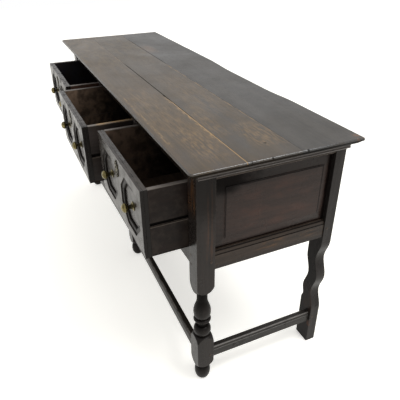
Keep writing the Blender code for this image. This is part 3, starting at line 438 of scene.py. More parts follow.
def rubbed(node, width):
    """Copy of a CAD node with its outer edges rubbed round, and those edges marked for wear"""
    built = bmesh.new()
    built.from_mesh(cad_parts[node].data)
    arris = built.faces.layers.float.new("arris")
    bmesh.ops.remove_doubles(built, verts=built.verts, dist=WELD)
    bmesh.ops.dissolve_limit(built, angle_limit=FLAT_BEND, verts=built.verts, edges=built.edges)
    edges = [
        edge for edge in built.edges
        if edge.is_manifold and edge.is_convex and edge.calc_face_angle() > SHARP_BEND
        and edge.calc_length() > 3 * width
    ]
    rounded = bmesh.ops.bevel(
        built, geom=edges, offset=width, segments=2, profile=0.5, affect="EDGES", clamp_overlap=True,
        material=-1,
    )
    for face in rounded["faces"]:
        if face.is_valid:
            face[arris] = 1.0
    bmesh.ops.remove_doubles(built, verts=built.verts, dist=WELD)
    bmesh.ops.dissolve_degenerate(built, dist=WELD, edges=built.edges)
    return finished(built, node)


# Marks, in order: painted shade over the front face, rust-red wear at the foot, brown wear above the
# stretcher
rear_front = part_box("rear_leg_right")[0].y
rear_oak = oak(
    "rear_leg_oak", "Z", deep=(0.013, 0.011, 0.010), pale=(0.040, 0.035, 0.033), worn=(0.10, 0.085, 0.075),
    polish=0.30, gloss=1.20,
    marks=(
        # Painted shade over the front face
        patch(PAINTED_SHADE_WARM, 0.40, y=(rear_front - 0.01, rear_front + 0.001, 0.0008)),
        patch((0.120, 0.050, 0.024), 0.80, x=(0.784, 0.9, 0.004),
              y=(rear_front - 0.01, rear_front + 0.007, 0.003), z=(0.076, 0.100, 0.006), broken=0.012),
        patch((0.060, 0.030, 0.020), 0.45, x=(0.735, 0.9, 0.006),
              y=(rear_front - 0.01, rear_front + 0.002, 0.002), z=(0.14, 0.25, 0.02),
              broken=(0.02, 0.02, 0.06)),
    ),
)
for side in ("right", "left"):
    node = f"rear_leg_{side}"
    show(f"waved_leg_{side}", rubbed(node, REAR_ARRIS), rear_oak, "carcass", "frame_oak", node)

# Rails and uprights: top and bottom rails tenoned between the end legs, with two uprights between the
# drawers, and a low rail across the back. Straight-grained oak, waxed like the legs.
RAIL_ARRIS = 0.0014
rail_oak = oak(
    "rail_oak", "X", deep=(0.007, 0.0055, 0.0045), pale=(0.024, 0.018, 0.014), worn=(0.15, 0.13, 0.115),
    polish=0.28, gloss=1.20, edge_wear=1.0,
)
for node in ("front_top_rail", "front_bottom_rail", "back_bottom_rail"):
    show(f"{node}_oak", rubbed(node, RAIL_ARRIS), rail_oak, "carcass", "frame_oak", node)
for node in ("drawer_divider_right", "drawer_divider_left"):
    show(f"{node}_oak", rubbed(node, RAIL_ARRIS), leg_oak, "carcass", "frame_oak", node)

# Framed ends: a plain top rail, a bottom rail with a moulded upper edge, and a raised panel in their
# grooves. The panel is a wide board with its grain level, redder than the frame, with painted shade under
# the top and by the front leg.
FINE_ARRIS = 0.0008
PANEL_ARRIS = 0.0006
RED_WEAR = (0.15, 0.075, 0.030)
# Black for painted shade in the quirks of the bottom rail's moulding
QUIRK_SHADE = (0.004, 0.003, 0.002)
# Near-black painted shade
PAINTED_SHADE = (0.004, 0.004, 0.004)
# Dark grey painted shade
PAINTED_SHADE_GREY = (0.012, 0.011, 0.010)
SHADOW_LINE = (0.003, 0.003, 0.003)
moulding_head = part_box("side_bottom_rail_right")[1].z
end_rail_oak = oak(
    "end_rail_oak", "Y", deep=(0.017, 0.0120, 0.0090), pale=(0.060, 0.041, 0.030), worn=(0.13, 0.10, 0.08),
    polish=0.28,
    marks=(
        patch(RED_WEAR, 0.60, y=(0.06, 0.17, 0.03), z=(0.502, 0.522, 0.006), broken=(0.02, 0.05, 0.010)),
        patch(RED_WEAR, 0.55, y=(0.21, 0.27, 0.02), z=(0.500, 0.518, 0.006), broken=(0.02, 0.04, 0.010)),
        patch((0.013, 0.012, 0.012), 0.60, z=(0.4, 0.489, 0.006)),
        # Painted shade in the two quirks of the moulding
        patch(QUIRK_SHADE, 0.9, z=(moulding_head - 0.0035, moulding_head - 0.0015, 0.0008)),
        patch(QUIRK_SHADE, 0.9, z=(moulding_head - 0.0155, moulding_head - 0.0135, 0.0008)),
    ),
)
# Marks, in order: red wear, painted shade under the top and by the leg, then painted shadow lines round the
# field
field_height = (0.572, 0.738, 0.004)
panel_oak = oak(
    "panel_oak", "Y", deep=(0.014, 0.0085, 0.0070), pale=(0.045, 0.0275, 0.0222), worn=(0.030, 0.022, 0.018),
    polish=0.26,
    marks=(
        patch((0.060, 0.029, 0.021), 0.8, y=(0.01, 0.25, 0.05), z=(0.57, 0.72, 0.03),
              broken=(0.03, 0.10, 0.035)),
        # Painted shade under the top, by the front leg and along the front border
        patch(PAINTED_SHADE, 0.80, y=(-0.2, 0.040, 0.06), z=(0.736, 0.9, 0.008)),
        patch(PAINTED_SHADE, 0.75, y=(-0.2, -0.015, 0.025), z=(0.718, 0.9, 0.014)),
        patch(PAINTED_SHADE_GREY, 0.55, y=(0.045, 0.4, 0.02), z=(0.742, 0.9, 0.004)),
        patch(PAINTED_SHADE_GREY, 0.40, y=(-0.2, -0.052, 0.004)),
        patch(SHADOW_LINE, 0.95, y=(0.297, 0.4, 0.004)),
        patch(SHADOW_LINE, 0.75, y=(-0.050, 0.280, 0.0015), z=(0.7360, 0.7395, 0.0012)),
        patch(SHADOW_LINE, 0.75, y=(-0.0474, -0.0452, 0.0008), z=field_height),
        patch(SHADOW_LINE, 0.55, y=(0.2750, 0.2785, 0.0012), z=field_height),
        patch(SHADOW_LINE, 0.95, z=(0.4, 0.5445, 0.0014)),
    ),
)
for side in ("right", "left"):
    for node in (f"side_top_rail_{side}", f"side_bottom_rail_{side}"):
        show(f"{node}_oak", rubbed(node, FINE_ARRIS), end_rail_oak, "carcass", "frame_oak", node)
    node = f"side_panel_{side}"
    show(f"{node}_oak", rubbed(node, PANEL_ARRIS), panel_oak, "carcass", "panel_oak", node)

# Back: one wide oak board, its lower edge let into the back rail and its ends into the rear legs.
# Left rough from the saw and never waxed, so it is drier and browner than the frame.
back_oak = oak(
    "back_oak", "X", deep=(0.022, 0.015, 0.010), pale=(0.075, 0.050, 0.032), worn=(0.10, 0.07, 0.045),
    polish=0.62,
)
show("back_board_oak", rubbed("back_board", FINE_ARRIS), back_oak, "carcass", "panel_oak", "back_board")

# Stretchers: low bars with a moulded upper edge, tenoned into the lower blocks of the legs.
# The front ones are waxed like the rails; the end ones are dusty, with arrises rubbed pale by feet.
stretcher_oak = oak(
    "stretcher_oak", "Y", deep=(0.012, 0.0110, 0.0098), pale=(0.040, 0.036, 0.032), worn=(0.26, 0.245, 0.23),
    polish=0.30, edge_wear=0.25, even_wear=0.75,
)
for side in ("right", "left"):
    node = f"front_stretcher_{side}"
    show(f"{node}_oak", rubbed(node, RAIL_ARRIS), rail_oak, "carcass", "frame_oak", node)
    node = f"side_stretcher_{side}"
    show(f"{node}_oak", rubbed(node, RAIL_ARRIS), stretcher_oak, "carcass", "frame_oak", node)

# Pegs: split oak pins driven through the tenon joints of the ends and the front, where no glue was used.
# Cut off just proud of the legs, with their ends slightly domed by wear.
PEG_RADIUS = 0.0046
PEG_PROUD = 0.0007
PEG_LENGTH = 0.006
PEG_STEPS = 20
END_RAIL_PEGS = (0.508, 0.796)
STRETCHER_PEG = 0.119
FRONT_PEGS = (0.487, 0.520, 0.775, 0.800)
peg_oak = oak(
    "peg_oak", "X", deep=(0.020, 0.014, 0.011), pale=(0.070, 0.046, 0.032), worn=(0.085, 0.055, 0.036),
    polish=0.42,
)
front_tenon = leg_high.y - 0.0115
rear_tenon = rear_front + 0.012
rail_tenon = leg_low.x + 0.013
end_pegs = [(depth, height) for depth in (front_tenon, rear_tenon) for height in END_RAIL_PEGS]
end_pegs += [(front_tenon - 0.001, STRETCHER_PEG), (rear_tenon, STRETCHER_PEG)]
forward = Matrix.Rotation(math.pi / 2, 3, "X")


def peg(turn, place):
    """Pin with a slightly domed end, turned to face out of the joint"""
    tip = (0.0, PEG_PROUD)
    profile = [tip] + quarter(tip, (PEG_RADIUS, 0.0), upright_first=False)
    built = turned(profile + [(PEG_RADIUS, -PEG_LENGTH), (0.0, -PEG_LENGTH)], PEG_STEPS)
    bmesh.ops.rotate(built, cent=(0, 0, 0), matrix=turn, verts=built.verts)
    bmesh.ops.translate(built, vec=place, verts=built.verts)
    return finished(built, "peg")


for side, sign in (("right", 1), ("left", -1)):
    outward = Matrix.Rotation(sign * math.pi / 2, 3, "Y")
    for number, (depth, height) in enumerate(end_pegs, 1):
        pin = peg(outward, (sign * leg_high.x, depth, height))
        show(f"end_peg_{side}_{number}", pin, peg_oak, "carcass", "frame_oak")
    for number, height in enumerate(FRONT_PEGS, 1):
        pin = peg(forward, (sign * rail_tenon, leg_low.y, height))
        show(f"front_peg_{side}_{number}", pin, peg_oak, "carcass", "frame_oak")

# Drawer bearers: plain oak strips fixed inside the ends and behind the uprights between the drawers.
# The grooves in the drawer sides run on them, so they are dry wood with rubbed edges.
bearer_oak = oak(
    "bearer_oak", "Y", deep=(0.016, 0.010, 0.007), pale=(0.042, 0.027, 0.018), worn=(0.12, 0.078, 0.045),
    polish=0.50,
)
for side in ("right", "left"):
    for place in ("end", "divider"):
        node = f"drawer_runner_{place}_{side}"
        show(f"{node}_oak", rubbed(node, FINE_ARRIS), bearer_oak, "carcass", "lining_oak", node)

# Drawers: a front board with a facing in two halves, two grooved sides nailed and housed to the board,
# a back, and a bottom under them. The sides are dark outside with handling and the inside is dry oak,
# in a different tone for each drawer, with painted shade over the right of each lining, the back of the
# left inner face and the runner grooves; the left drawer's inside is painted near black as shade.
DRAWER_WALL = 0.013
WALL_SOFT = 0.002
GROOVE_SOFT = 0.001
CLEAN_STILE = 0.012
CLEAN_RAIL = 0.020
SINKING_START = 0.0006
SINKING_END = 0.0050
# Black of end grain, also painted shade in the runner grooves and dull patches on the fronts
END_GRAIN_AND_SHADE_BLACK = (0.006, 0.005, 0.004)
runner_low, runner_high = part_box("drawer_runner_end_right")


def end_grain(middle, half):
    """Black end grain on both ends of a board, this far from its middle"""
    def mark(place):
        across = (place.axis("X") - middle).size()
        return across.rise(half - 0.0016, half - 0.0006) * 0.65, END_GRAIN_AND_SHADE_BLACK

    return mark


def drawer_side_oak(bay, middle, half, inside_tone, outside):
    """Drawer side, dark with handling outside and dry on the face towards the drawer's middle, with painted
    shade in its runner groove and towards the back inside
    """
    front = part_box(f"drawer_{bay}_front")[0].y
    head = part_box(f"drawer_{bay}_side_right")[1].z
    wall = half - DRAWER_WALL

    def inside(place):
        across = (place.axis("X") - middle).size()
        return 1 - across.rise(wall, wall + WALL_SOFT), inside_tone

    # Painted shade in the runner groove outside
    def hollow(place):
        across, up = (place.axis("X") - middle).size(), place.axis("Z")
        foot, roof = runner_low.z + 0.0005, runner_high.z + 0.0015
        band = up.rise(foot, foot + GROOVE_SOFT) * (1 - up.rise(roof, roof + GROOVE_SOFT))
        return across.rise(wall + WALL_SOFT, wall + WALL_SOFT + GROOVE_SOFT) * band * 0.9, END_GRAIN_AND_SHADE_BLACK

    stain = patch((0.025, 0.018, 0.014), 0.7, broken=(0.03, 0.035, 0.035))
    # Painted shade towards the back of the left inner face
    shade = patch(PAINTED_SHADE, 0.75, x=(middle - half + 0.009, middle, 0.002), y=(front + 0.17, 1.0, 0.09))
    groove = patch((0.110, 0.090, 0.075), 0.8, z=(runner_low.z - 0.0020, runner_low.z + 0.0003, 0.0007))
    top_edge = patch((0.165, 0.145, 0.130), 0.9, z=(head - 0.0020, 0.8, 0.0006))
    marks = [inside, stain, shade, hollow, groove, top_edge]
    if bay == "middle":
        rubbed_run = patch((0.36, 0.225, 0.095), 0.95, x=(middle, middle + half, 0.01),
                           z=(head - 0.0030, 0.8, 0.0006), broken=(0.05, 0.10, 0.05))
        marks.append(rubbed_run)
    return oak(
        f"drawer_side_oak_{bay}", "Y", deep=[channel * 0.25 for channel in outside], pale=outside,
        worn=(0.12, 0.095, 0.075), polish=0.42, gloss=1.22, marks=marks,
    )


def grimy_shaded_sinking(mesh, node):
    """Grime and painted shade in the sunk octagon of a facing, setting in with depth, inside its clean rim
    """
    low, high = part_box(node)
    grime = mesh.attributes.new(name="grime", type="FLOAT", domain="FACE").data
    for face in mesh.polygons:
        place = face.center
        across = low.x + CLEAN_STILE < place.x < high.x - CLEAN_STILE
        if across and low.z + CLEAN_RAIL < place.z < high.z - CLEAN_RAIL:
            depth = place.y - low.y
            grime[face.index].value = clamped((depth - SINKING_START) / (SINKING_END - SINKING_START))


# Each drawer's inside tone (near black, as painted shade, in the left one), how far right of its middle
# painted shade darkens the lining, its outside, how much patchy dull black its front takes
drawer_tones = {
    "left": ((0.022, 0.020, 0.024), -0.20, (0.085, 0.042, 0.028), 0.55),
    "middle": ((0.190, 0.130, 0.090), 0.10, (0.038, 0.030, 0.027), 0.45),
    "right": ((0.140, 0.094, 0.066), -0.04, (0.012, 0.006, 0.004), 0.20),
}
for bay, (inside_tone, painted_shade_from, outside, front_dull_black) in drawer_tones.items():
    body = f"drawer_{bay}"
    low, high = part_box(f"{body}_front")
    middle, half = (low.x + high.x) / 2, (high.x - low.x) / 2
    lining_oak = oak(
        f"lining_oak_{bay}", "X", deep=[channel * 0.2 for channel in inside_tone],
        pale=[channel * 0.6 for channel in inside_tone], worn=(0.10, 0.07, 0.05), polish=0.62,
        # Painted shade over the right part of the lining
        marks=(patch(PAINTED_SHADE, 0.75, x=(middle + painted_shade_from, 1.0, 0.10)),),
    )
    front_oak = oak(
        f"front_oak_{bay}", "X", deep=(0.012, 0.009, 0.007), pale=(0.042, 0.032, 0.025),
        worn=(0.13, 0.11, 0.095), polish=0.28, gloss=1.41,
        # Patchy dull black over the front
        marks=(end_grain(middle, half), patch(END_GRAIN_AND_SHADE_BLACK, front_dull_black, broken=0.030)),
    )
    side_oak = drawer_side_oak(bay, middle, half, inside_tone, outside)
    for side in ("right", "left"):
        node = f"{body}_side_{side}"
        show(f"{node}_oak", rubbed(node, RAIL_ARRIS), side_oak, body, "lining_oak", node)
    for part in ("back", "bottom"):
        node = f"{body}_{part}"
        show(f"{node}_oak", rubbed(node, FINE_ARRIS), lining_oak, body, "lining_oak", node)
    node = f"{body}_front"
    show(f"{node}_oak", rubbed(node, FINE_ARRIS), front_oak, body, "frame_oak", node)
    for side in ("right", "left"):
        node = f"{body}_field_{side}"
        facing = rubbed(node, FINE_ARRIS)
        # Grime and painted shade in the sunk octagon
        grimy_shaded_sinking(facing, node)
        show(f"{node}_oak", facing, front_oak, body, "frame_oak", node)


# Knobs: cast and turned brass, each with its rose and stem in one, the spindle through the front.
# Unpolished for long, so dark olive in the hollows and brighter where hands reach.
KNOB_LENGTH = 0.0355
KNOB_WIDEST = 0.02505
KNOB_RADIUS = 0.0148
STEM_HEIGHT = 0.0165
STEM_RADIUS = 0.0045
ROSE_RADIUS = 0.0145
ROSE_EDGE = 0.0020
SPINDLE_RADIUS = 0.0027
SPINDLE_LENGTH = 0.0175
KNOB_STEPS = 48
TARNISH_LOW = 0.003
TARNISH_HIGH = 0.024
TARNISH_RADIUS = 0.0120
TARNISH_FADE = 0.006


def brass(name, bright, dull, black, relief=0.0, hollows=0.0):
    """Old brass: tarnish in clouds, dark specks, a soft uneven polish, and relief left by the casting"""
    material, shader, place = bare_finish(name)
    tarnish = place.noise(0.011, detail=4.0, warp=0.5)
    specks = place.noise(0.0022, detail=2.0)
    colour = tarnish.rise(0.35, 0.65).blend(bright, dull)
    colour = specks.rise(0.56, 0.74).blend(colour, black)
    grime = place.node("Attribute", {"attribute_name": "grime"}, output="Fac")
    feed(shader, "Base Color", grime.blend(colour, black))
    feed(shader, "Roughness", 0.16 + tarnish * 0.26 + grime * 0.3)
    feed(shader, "Metallic", 1.0 - specks.rise(0.58, 0.74) * 0.5)
    chased = place.noise(0.0052, detail=1.0).rise(0.42, 0.58)
    height = chased * relief + (tarnish + specks * 0.4) * 0.00012
    bump = place.node("Bump", inputs={"Strength": 1.0, "Distance": 1.0, "Height": height})
    feed(shader, "Normal", bump)
    matt_black = {"Base Color": (*black, 1.0), "Roughness": 0.8, "IOR": 1.15}
    tarnished = place.node("BsdfPrincipled", inputs=matt_black)
    return coated(material, shader, grime * 0.6 + (1 - chased) * hollows, tarnished)


def knob_profile():
    """Knob from its tip to the end of its spindle"""
    points = [(0.0, KNOB_LENGTH)]
    points += quarter(points[-1], (KNOB_RADIUS, KNOB_WIDEST), upright_first=False)
    points += quarter(points[-1], (STEM_RADIUS, STEM_HEIGHT), upright_first=True)
    points += quarter(points[-1], (ROSE_RADIUS, ROSE_EDGE), upright_first=True)
    points += [(ROSE_RADIUS, 0.0), (SPINDLE_RADIUS, 0.0)]
    return points + [(SPINDLE_RADIUS, -SPINDLE_LENGTH), (0.0, -SPINDLE_LENGTH)]


knob_brass = brass("knob_brass", (0.240, 0.198, 0.086), (0.084, 0.070, 0.031), (0.016, 0.013, 0.007))
for bay in ("left", "middle", "right"):
    body = f"drawer_{bay}"
    for side in ("right", "left"):
        node = f"{body}_knob_{side}"
        low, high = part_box(node)
        knob = turned(knob_profile(), KNOB_STEPS)
        grime = knob.faces.layers.float.new("grime")
        for face in knob.faces:
            place = face.calc_center_median()
            if TARNISH_LOW < place.z < TARNISH_HIGH:
                face[grime] = clamped((TARNISH_RADIUS - math.hypot(place.x, place.y)) / TARNISH_FADE)
        bmesh.ops.rotate(knob, cent=(0, 0, 0), matrix=forward, verts=knob.verts)
        middle = (low + high) / 2
        bmesh.ops.translate(knob, vec=(middle.x, low.y + KNOB_LENGTH, middle.z), verts=knob.verts)
        show(f"{node}_brass", finished(knob, node), knob_brass, body, "aged_brass", node)

# Escutcheons: cast brass plates with a scalloped outline, pierced and pinned over the keyholes.
# Never polished, so the hollows of the casting are black and only the high parts still shine.
ESCUTCHEON_ARRIS = 0.0004
plate_brass = brass(
    "plate_brass", (0.150, 0.125, 0.065), (0.040, 0.034, 0.018), (0.010, 0.008, 0.006), relief=0.0012,
    hollows=0.9,
)
for bay in ("left", "middle", "right"):
    node = f"drawer_{bay}_escutcheon"
    show(f"{node}_brass", rubbed(node, ESCUTCHEON_ARRIS), plate_brass, f"drawer_{bay}", "aged_brass", node)

# Lock plates: the part of each drawer's lock that shows, let into the top edge of the front.
# Wrought iron with a slot for the bolt, filed along its length, which is drawn as the grain of oak is.
PLATE_LENGTH = 0.066
PLATE_WIDTH = 0.0085
PLATE_INSET = 0.0015
PLATE_DEPTH = 0.0015
PLATE_PROUD = 0.0003
PLATE_ARRIS = 0.0002
BOLT_LENGTH = 0.016
BOLT_WIDTH = 0.004
BOLT_DEPTH = 0.0012
iron = oak(
    "old_iron", "X", deep=(0.020, 0.019, 0.018), pale=(0.060, 0.055, 0.050), worn=(0.14, 0.13, 0.12),
    polish=0.42, gloss=1.6,
)


def sliced(built, place, across, weld=0.0):
    """Cut every face along a plane, with nothing taken away"""
    everything = built.verts[:] + built.edges[:] + built.faces[:]
    bmesh.ops.bisect_plane(built, geom=everything, dist=weld, plane_co=place, plane_no=across)


for bay in ("left", "middle", "right"):
    low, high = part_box(f"drawer_{bay}_front")
    middle = Vector(((low.x + high.x) / 2, high.y - PLATE_INSET - PLATE_WIDTH / 2, high.z))
    reach = Vector((PLATE_LENGTH / 2, PLATE_WIDTH / 2, 0.0))
    foot = middle - reach - Vector((0, 0, PLATE_DEPTH))
    plate = block(foot, middle + reach + Vector((0, 0, PLATE_PROUD)), PLATE_ARRIS)
    for axis, half in ((Vector((1, 0, 0)), BOLT_LENGTH / 2), (Vector((0, 1, 0)), BOLT_WIDTH / 2)):
        for sign in (1, -1):
            sliced(plate, middle + axis * half * sign, axis)
    bolt = [
        face for face in plate.faces
        if face.normal.z > 0.9 and (face.calc_center_median() - middle).xy.length < BOLT_WIDTH / 4
    ]
    slot = bmesh.ops.extrude_discrete_faces(plate, faces=bolt)["faces"]
    sunk = [vert for face in slot for vert in face.verts]
    bmesh.ops.translate(plate, vec=(0, 0, -BOLT_DEPTH), verts=sunk)
    show(f"lock_plate_{bay}", finished(plate, "lock_plate"), iron, f"drawer_{bay}", "aged_brass")

# Top: three boards side by side, with a rounded nose on the front and the ends, and a cove under each
# end. Warm and dry in front where it has been used, greyer at the back, and worn to bare orange oak
# along the joints.
TOP_ARRIS = 0.0010
NOSE_FOOT = 0.835
NOSE_SLOPE = (0.15, 0.98)
NICK_DEPTH = 0.005
BARE_OAK = (0.29, 0.175, 0.064)
SCUFFED_OAK = (0.21, 0.125, 0.046)
OPEN_JOINT = (0.008, 0.005, 0.003)
EDGE_BLACK = (0.008, 0.007, 0.006)
top_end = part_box("top_board_front")[1].x
front_joint = (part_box("top_board_front")[1].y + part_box("top_board_middle")[0].y) / 2
rear_joint = (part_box("top_board_middle")[1].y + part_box("top_board_rear")[0].y) / 2
# Painted shade: black below the nose's widest point, over its underside and the undercut
dark_nose = patch(EDGE_BLACK, 0.92, z=(0.0, NOSE_FOOT, 0.0008))


def nick(depth, width):
    """Chip out of the right end's nose, as far back as depth, painted as a dull dark spot for its shade"""
    chipped = (top_end - NICK_DEPTH, 0.9, 0.0010)
    return patch(EDGE_BLACK, 0.75, x=chipped, y=(depth - width, depth + width, 0.0008))


# Marks of the boards: broad tones, scuffs, wood rubbed bare, open joints, and painted shade under the nose
# with its chips painted dark
front_marks = [
    patch((0.052, 0.040, 0.031), 0.70, x=(0.70, 0.95, 0.10), broken=(0.10, 0.04, 0.05)),
    patch((0.125, 0.082, 0.030), 0.45, x=(-0.9, -0.20, 0.20), broken=(0.06, 0.02, 0.05)),
    patch(SCUFFED_OAK, 0.60, x=(0.58, 0.80, 0.05), y=(-0.125, -0.045, 0.022), broken=(0.034, 0.006, 0.02)),
    patch(SCUFFED_OAK, 0.40, x=(0.15, 0.62, 0.10), y=(-0.160, -0.050, 0.030), broken=(0.060, 0.007, 0.02)),
    patch(BARE_OAK, 0.60, x=(0.22, 0.68, 0.04), y=(-0.1660, -0.1575, 0.0030), broken=(0.024, 0.006, 0.02)),
    patch(BARE_OAK, 0.85, x=(0.30, 0.72, 0.05), y=(front_joint - 0.0110, front_joint, 0.0040),
          broken=(0.024, 0.007, 0.05)),
    patch(BARE_OAK, 0.90, x=(0.33, 0.86, 0.03), y=(front_joint - 0.0036, front_joint - 0.0004, 0.0008)),
    patch(BARE_OAK, 0.45, x=(-0.45, -0.25, 0.03), y=(front_joint - 0.010, front_joint, 0.004),
          broken=(0.03, 0.006, 0.02)),
    patch(OPEN_JOINT, 0.95, x=(-0.20, 0.33, 0.03), y=(front_joint - 0.0016, front_joint + 0.01, 0.0006)),
    patch(OPEN_JOINT, 0.95, x=(0.265, 0.285, 0.004), y=(front_joint - 0.0035, front_joint + 0.01, 0.001)),
    dark_nose,
]
middle_marks = [
    patch((0.036, 0.031, 0.026), 0.75, x=(0.30, 0.95, 0.20), broken=(0.20, 0.05, 0.05)),
    patch((0.115, 0.077, 0.030), 0.40, x=(-0.9, -0.25, 0.20), broken=(0.06, 0.02, 0.05)),
    patch(SCUFFED_OAK, 0.42, x=(0.42, 0.68, 0.05), y=(front_joint, 0.025, 0.015),
          broken=(0.040, 0.006, 0.02)),
    patch(SCUFFED_OAK, 0.58, x=(0.62, 0.78, 0.03), y=(0.050, 0.136, 0.020), broken=(0.030, 0.006, 0.02)),
    patch(SCUFFED_OAK, 0.30, x=(0.05, 0.50, 0.08), y=(0.020, 0.125, 0.030), broken=(0.060, 0.007, 0.02)),
    patch((0.010, 0.006, 0.004), 0.70, x=(0.766, 0.773, 0.003), y=(0.072, 0.078, 0.002)),
    patch(BARE_OAK, 0.65, x=(-0.12, 0.55, 0.05), y=(rear_joint - 0.0045, rear_joint, 0.001),
          broken=(0.05, 0.01, 0.05)),
    patch(BARE_OAK, 0.75, x=(0.58, 0.77, 0.02), y=(rear_joint - 0.0050, rear_joint, 0.001),
          broken=(0.07, 0.02, 0.05)),
    patch(OPEN_JOINT, 0.90, x=(-0.20, 0.52, 0.05), y=(front_joint - 0.01, front_joint + 0.0016, 0.0006)),
    patch(OPEN_JOINT, 0.80, x=(-0.70, -0.15, 0.05), y=(rear_joint - 0.0013, rear_joint + 0.01, 0.0006)),
    dark_nose, nick(-0.0145, 0.0015), nick(0.046, 0.0022),
]
rear_marks = [
    patch((0.11, 0.058, 0.024), 0.55, x=(-0.52, -0.38, 0.04), y=(rear_joint, 0.19, 0.02)),
    patch(OPEN_JOINT, 0.80, x=(-0.70, -0.15, 0.05), y=(rear_joint - 0.01, rear_joint + 0.0013, 0.0006)),
    dark_nose, nick(0.155, 0.0030),
    patch((0.19, 0.085, 0.036), 0.75, x=(0.825, 0.9, 0.010), y=(0.318, 0.4, 0.008), broken=0.014),
]
# Each board's colour in the deep and the pale of its figure, and its marks
boards = {
    "front": ((0.029, 0.0178, 0.0071), (0.086, 0.055, 0.0235), front_marks),
    "middle": ((0.025, 0.0163, 0.0075), (0.070, 0.046, 0.0215), middle_marks),
    "rear": ((0.014, 0.0115, 0.0090), (0.044, 0.037, 0.029), rear_marks),
}
SAW_STEPS = 60
SAW_WANDER = 0.0020
SAW_WAVES = 8
SAW_CHIPS = 31
CHIP_SHARE = 0.6
SAW_BITE = 0.1
BACK_BAND = 0.004
STRAIGHT_FROM = 0.35
ROUGH_FROM = -0.15
HOLLOW_DEPTH = 0.010
HOLLOW_STARTS = (-0.15, 0.10)
HOLLOW_ENDS = (0.52, 0.36)
CORNER_ROUND = 0.011
CORNER_CUTS = 6


def eased(place, start, end):
    """Smooth rise from 0 at start to 1 at end"""
    share = clamped((place - start) / (end - start))
    return share * share * (3 - 2 * share)


def ragged_back(mesh):
    """Back edge sawn by eye, hollow right of its middle and chipped since, never past the straight line"""
    built = bmesh.new()
    built.from_mesh(mesh)
    low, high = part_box("top_board_rear")
    for step in range(1, SAW_STEPS):
        sliced(built, low.lerp(high, step / SAW_STEPS), (1, 0, 0))
    for vert in built.verts:
        if vert.co.y > high.y - BACK_BAND:
            along = vert.co.x
            chips = CHIP_SHARE * noise.noise((along * SAW_CHIPS, 5, 0))
            bite = clamped(SAW_BITE + noise.noise((along * SAW_WAVES, 0, 0)) + chips)
            roughness = clamped((STRAIGHT_FROM - along) / (STRAIGHT_FROM - ROUGH_FROM))
            vert.co.y -= SAW_WANDER * roughness * bite
            vert.co.y -= HOLLOW_DEPTH * eased(along, *HOLLOW_STARTS) * eased(along, *HOLLOW_ENDS)
    built.to_mesh(mesh)
    built.free()


def worn_corners(mesh):
    """Front corners of the top rubbed round in plan, with the nose following the curve"""
    built = bmesh.new()
    built.from_mesh(mesh)
    low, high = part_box("top_board_front")
    for side, end in ((1, high.x), (-1, low.x)):
        turn = Vector((end - side * CORNER_ROUND, low.y + CORNER_ROUND, 0.0))
        for step in range(CORNER_CUTS):
            reach = CORNER_ROUND * step / CORNER_CUTS
            sliced(built, turn + Vector((side * reach, 0, 0)), (1, 0, 0), WELD)
            sliced(built, turn + Vector((0, -reach, 0)), (0, 1, 0), WELD)
        for vert in built.verts:
            along, out = side * (vert.co.x - turn.x), turn.y - vert.co.y
            if along > WELD and out > WELD:
                shrink = max(along, out) / math.hypot(along, out)
                vert.co.x, vert.co.y = turn.x + side * along * shrink, turn.y - out * shrink
    built.to_mesh(mesh)
    built.free()


for board, (deep, pale, marks) in boards.items():
    node = f"top_board_{board}"
    board_oak = oak(
        f"top_oak_{board}", "X", deep=deep, pale=pale, worn=(0.055, 0.055, 0.057), polish=0.40, gloss=1.47,
        edge_wear=0.6, edge_shine=0.20, marks=marks,
    )
    mesh = rubbed(node, TOP_ARRIS)
    wear = mesh.attributes["arris"].data
    for face in mesh.polygons:
        if NOSE_FOOT < face.center.z and NOSE_SLOPE[0] < face.normal.z < NOSE_SLOPE[1]:
            wear[face.index].value = 1.0
            face.use_smooth = False
    if board == "rear":
        ragged_back(mesh)
    elif board == "front":
        worn_corners(mesh)
    show(f"{node}_oak", mesh, board_oak, "carcass", "top_oak", node)
# Painted light: the moulding is lighter and greyer than the frame, standing in for light on its face under
# the nose
moulding_oak = oak(
    "moulding_oak", "Y", deep=(0.040, 0.035, 0.032), pale=(0.108, 0.094, 0.088), worn=(0.19, 0.17, 0.155),
    polish=0.28,
)
for side in ("right", "left"):
    node = f"end_moulding_{side}"
    show(f"{node}_oak", rubbed(node, PANEL_ARRIS), moulding_oak, "carcass", "frame_oak", node)

# Studio: a white floor that runs out of sight, an even white surround, and one soft lamp over the right
# end. The floor is seen white and still takes the shadow.
FLOOR_REACH = 9
FLOOR_DEPTH = 0.02
FLOOR_GLOW = 0.47
SKY_LIGHT = 0.92
LOW_LIGHT = 0.20
LAMP_PLACE = (1.58, 0.92, 2.75)
LAMP_AIM = (0.4, 0, 0.6)


def seen(layer):
    """1 on the camera's own rays, and on those that a polished face sends on"""
    return layer.node("LightPath", output="Is Camera Ray") + layer.node("LightPath", output="Is Glossy Ray")


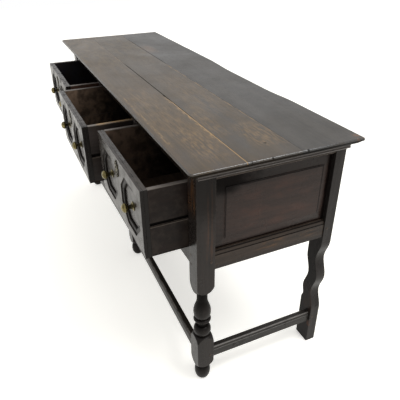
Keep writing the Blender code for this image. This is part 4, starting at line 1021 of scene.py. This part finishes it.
floor = block((-FLOOR_REACH, -FLOOR_REACH, -FLOOR_DEPTH), (FLOOR_REACH, FLOOR_REACH, 0.0))
floor_mesh = bpy.data.meshes.new("studio_floor")
floor.to_mesh(floor_mesh)
floor.free()
paper = bpy.data.materials.new("white_paper")
paper.use_nodes = True
paper_shader = paper.node_tree.nodes["Principled BSDF"]
paper_shader.inputs["Base Color"].default_value = (0.96, 0.94, 0.88, 1.0)
paper_shader.inputs["Roughness"].default_value = 0.9
matt = Layer(paper.node_tree, paper_shader.outputs[0])
glow = matt.node("Emission", inputs={"Color": (1.0, 0.993, 0.965, 1.0), "Strength": seen(matt) * FLOOR_GLOW})
lit_paper = matt.node("AddShader", inputs={0: matt, 1: glow})
feed(paper.node_tree.nodes["Material Output"], "Surface", lit_paper)
floor_mesh.materials.append(paper)
floor_piece = bpy.data.objects.new("studio_floor", floor_mesh)
bpy.context.scene.collection.objects.link(floor_piece)

world = bpy.data.worlds.new("white_surround")
world.use_nodes = True
air = Layer(world.node_tree)
white = seen(air)
background = world.node_tree.nodes["Background"]
background.inputs["Color"].default_value = (1.0, 1.0, 1.0, 1.0)
height = air.node("TexCoord", output="Generated").axis("Z").rise(0.0, 1.0)
softbox = height * SKY_LIGHT + LOW_LIGHT
feed(background, "Strength", white + (1 - white) * softbox)
bpy.context.scene.world = world

lamp = bpy.data.lights.new("soft_lamp", "AREA")
lamp.shape = "RECTANGLE"
lamp.size = 1.3
lamp.size_y = 0.7
lamp.energy = 30
lamp_holder = bpy.data.objects.new("soft_lamp", lamp)
lamp_holder.location = LAMP_PLACE
lamp_holder.rotation_euler = (Vector(LAMP_AIM) - lamp_holder.location).to_track_quat("-Z", "Y").to_euler()
bpy.context.scene.collection.objects.link(lamp_holder)

# Camera: a normal lens at standing height near the right front corner, looking down along the piece.
# Its place was fitted to the photograph's outline of the top, the legs and the drawers.
CAMERA_AZIMUTH = math.radians(65.6606)
CAMERA_ELEVATION = math.radians(30.7325)
CAMERA_ROLL = math.radians(-0.3516)
CAMERA_RIGHT = 1.7117
CAMERA_FORWARD = 0.6228
CAMERA_HEIGHT = 1.3245
camera = bpy.data.cameras.new("camera")
camera.lens = 40.403
camera.sensor_width = 36.0
camera_holder = bpy.data.objects.new("camera", camera)
aim = Matrix.Rotation(CAMERA_AZIMUTH, 4, "Z") @ Matrix.Rotation(math.pi / 2 - CAMERA_ELEVATION, 4, "X")
top_middle = (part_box("top_board_front")[0].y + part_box("top_board_rear")[1].y) / 2
stand = Matrix.Translation((CAMERA_RIGHT, top_middle - CAMERA_FORWARD, CAMERA_HEIGHT))
camera_holder.matrix_world = stand @ aim @ Matrix.Rotation(CAMERA_ROLL, 4, "Z")
bpy.context.scene.collection.objects.link(camera_holder)
bpy.context.scene.camera = camera_holder
bpy.context.scene.view_settings.view_transform = "Standard"
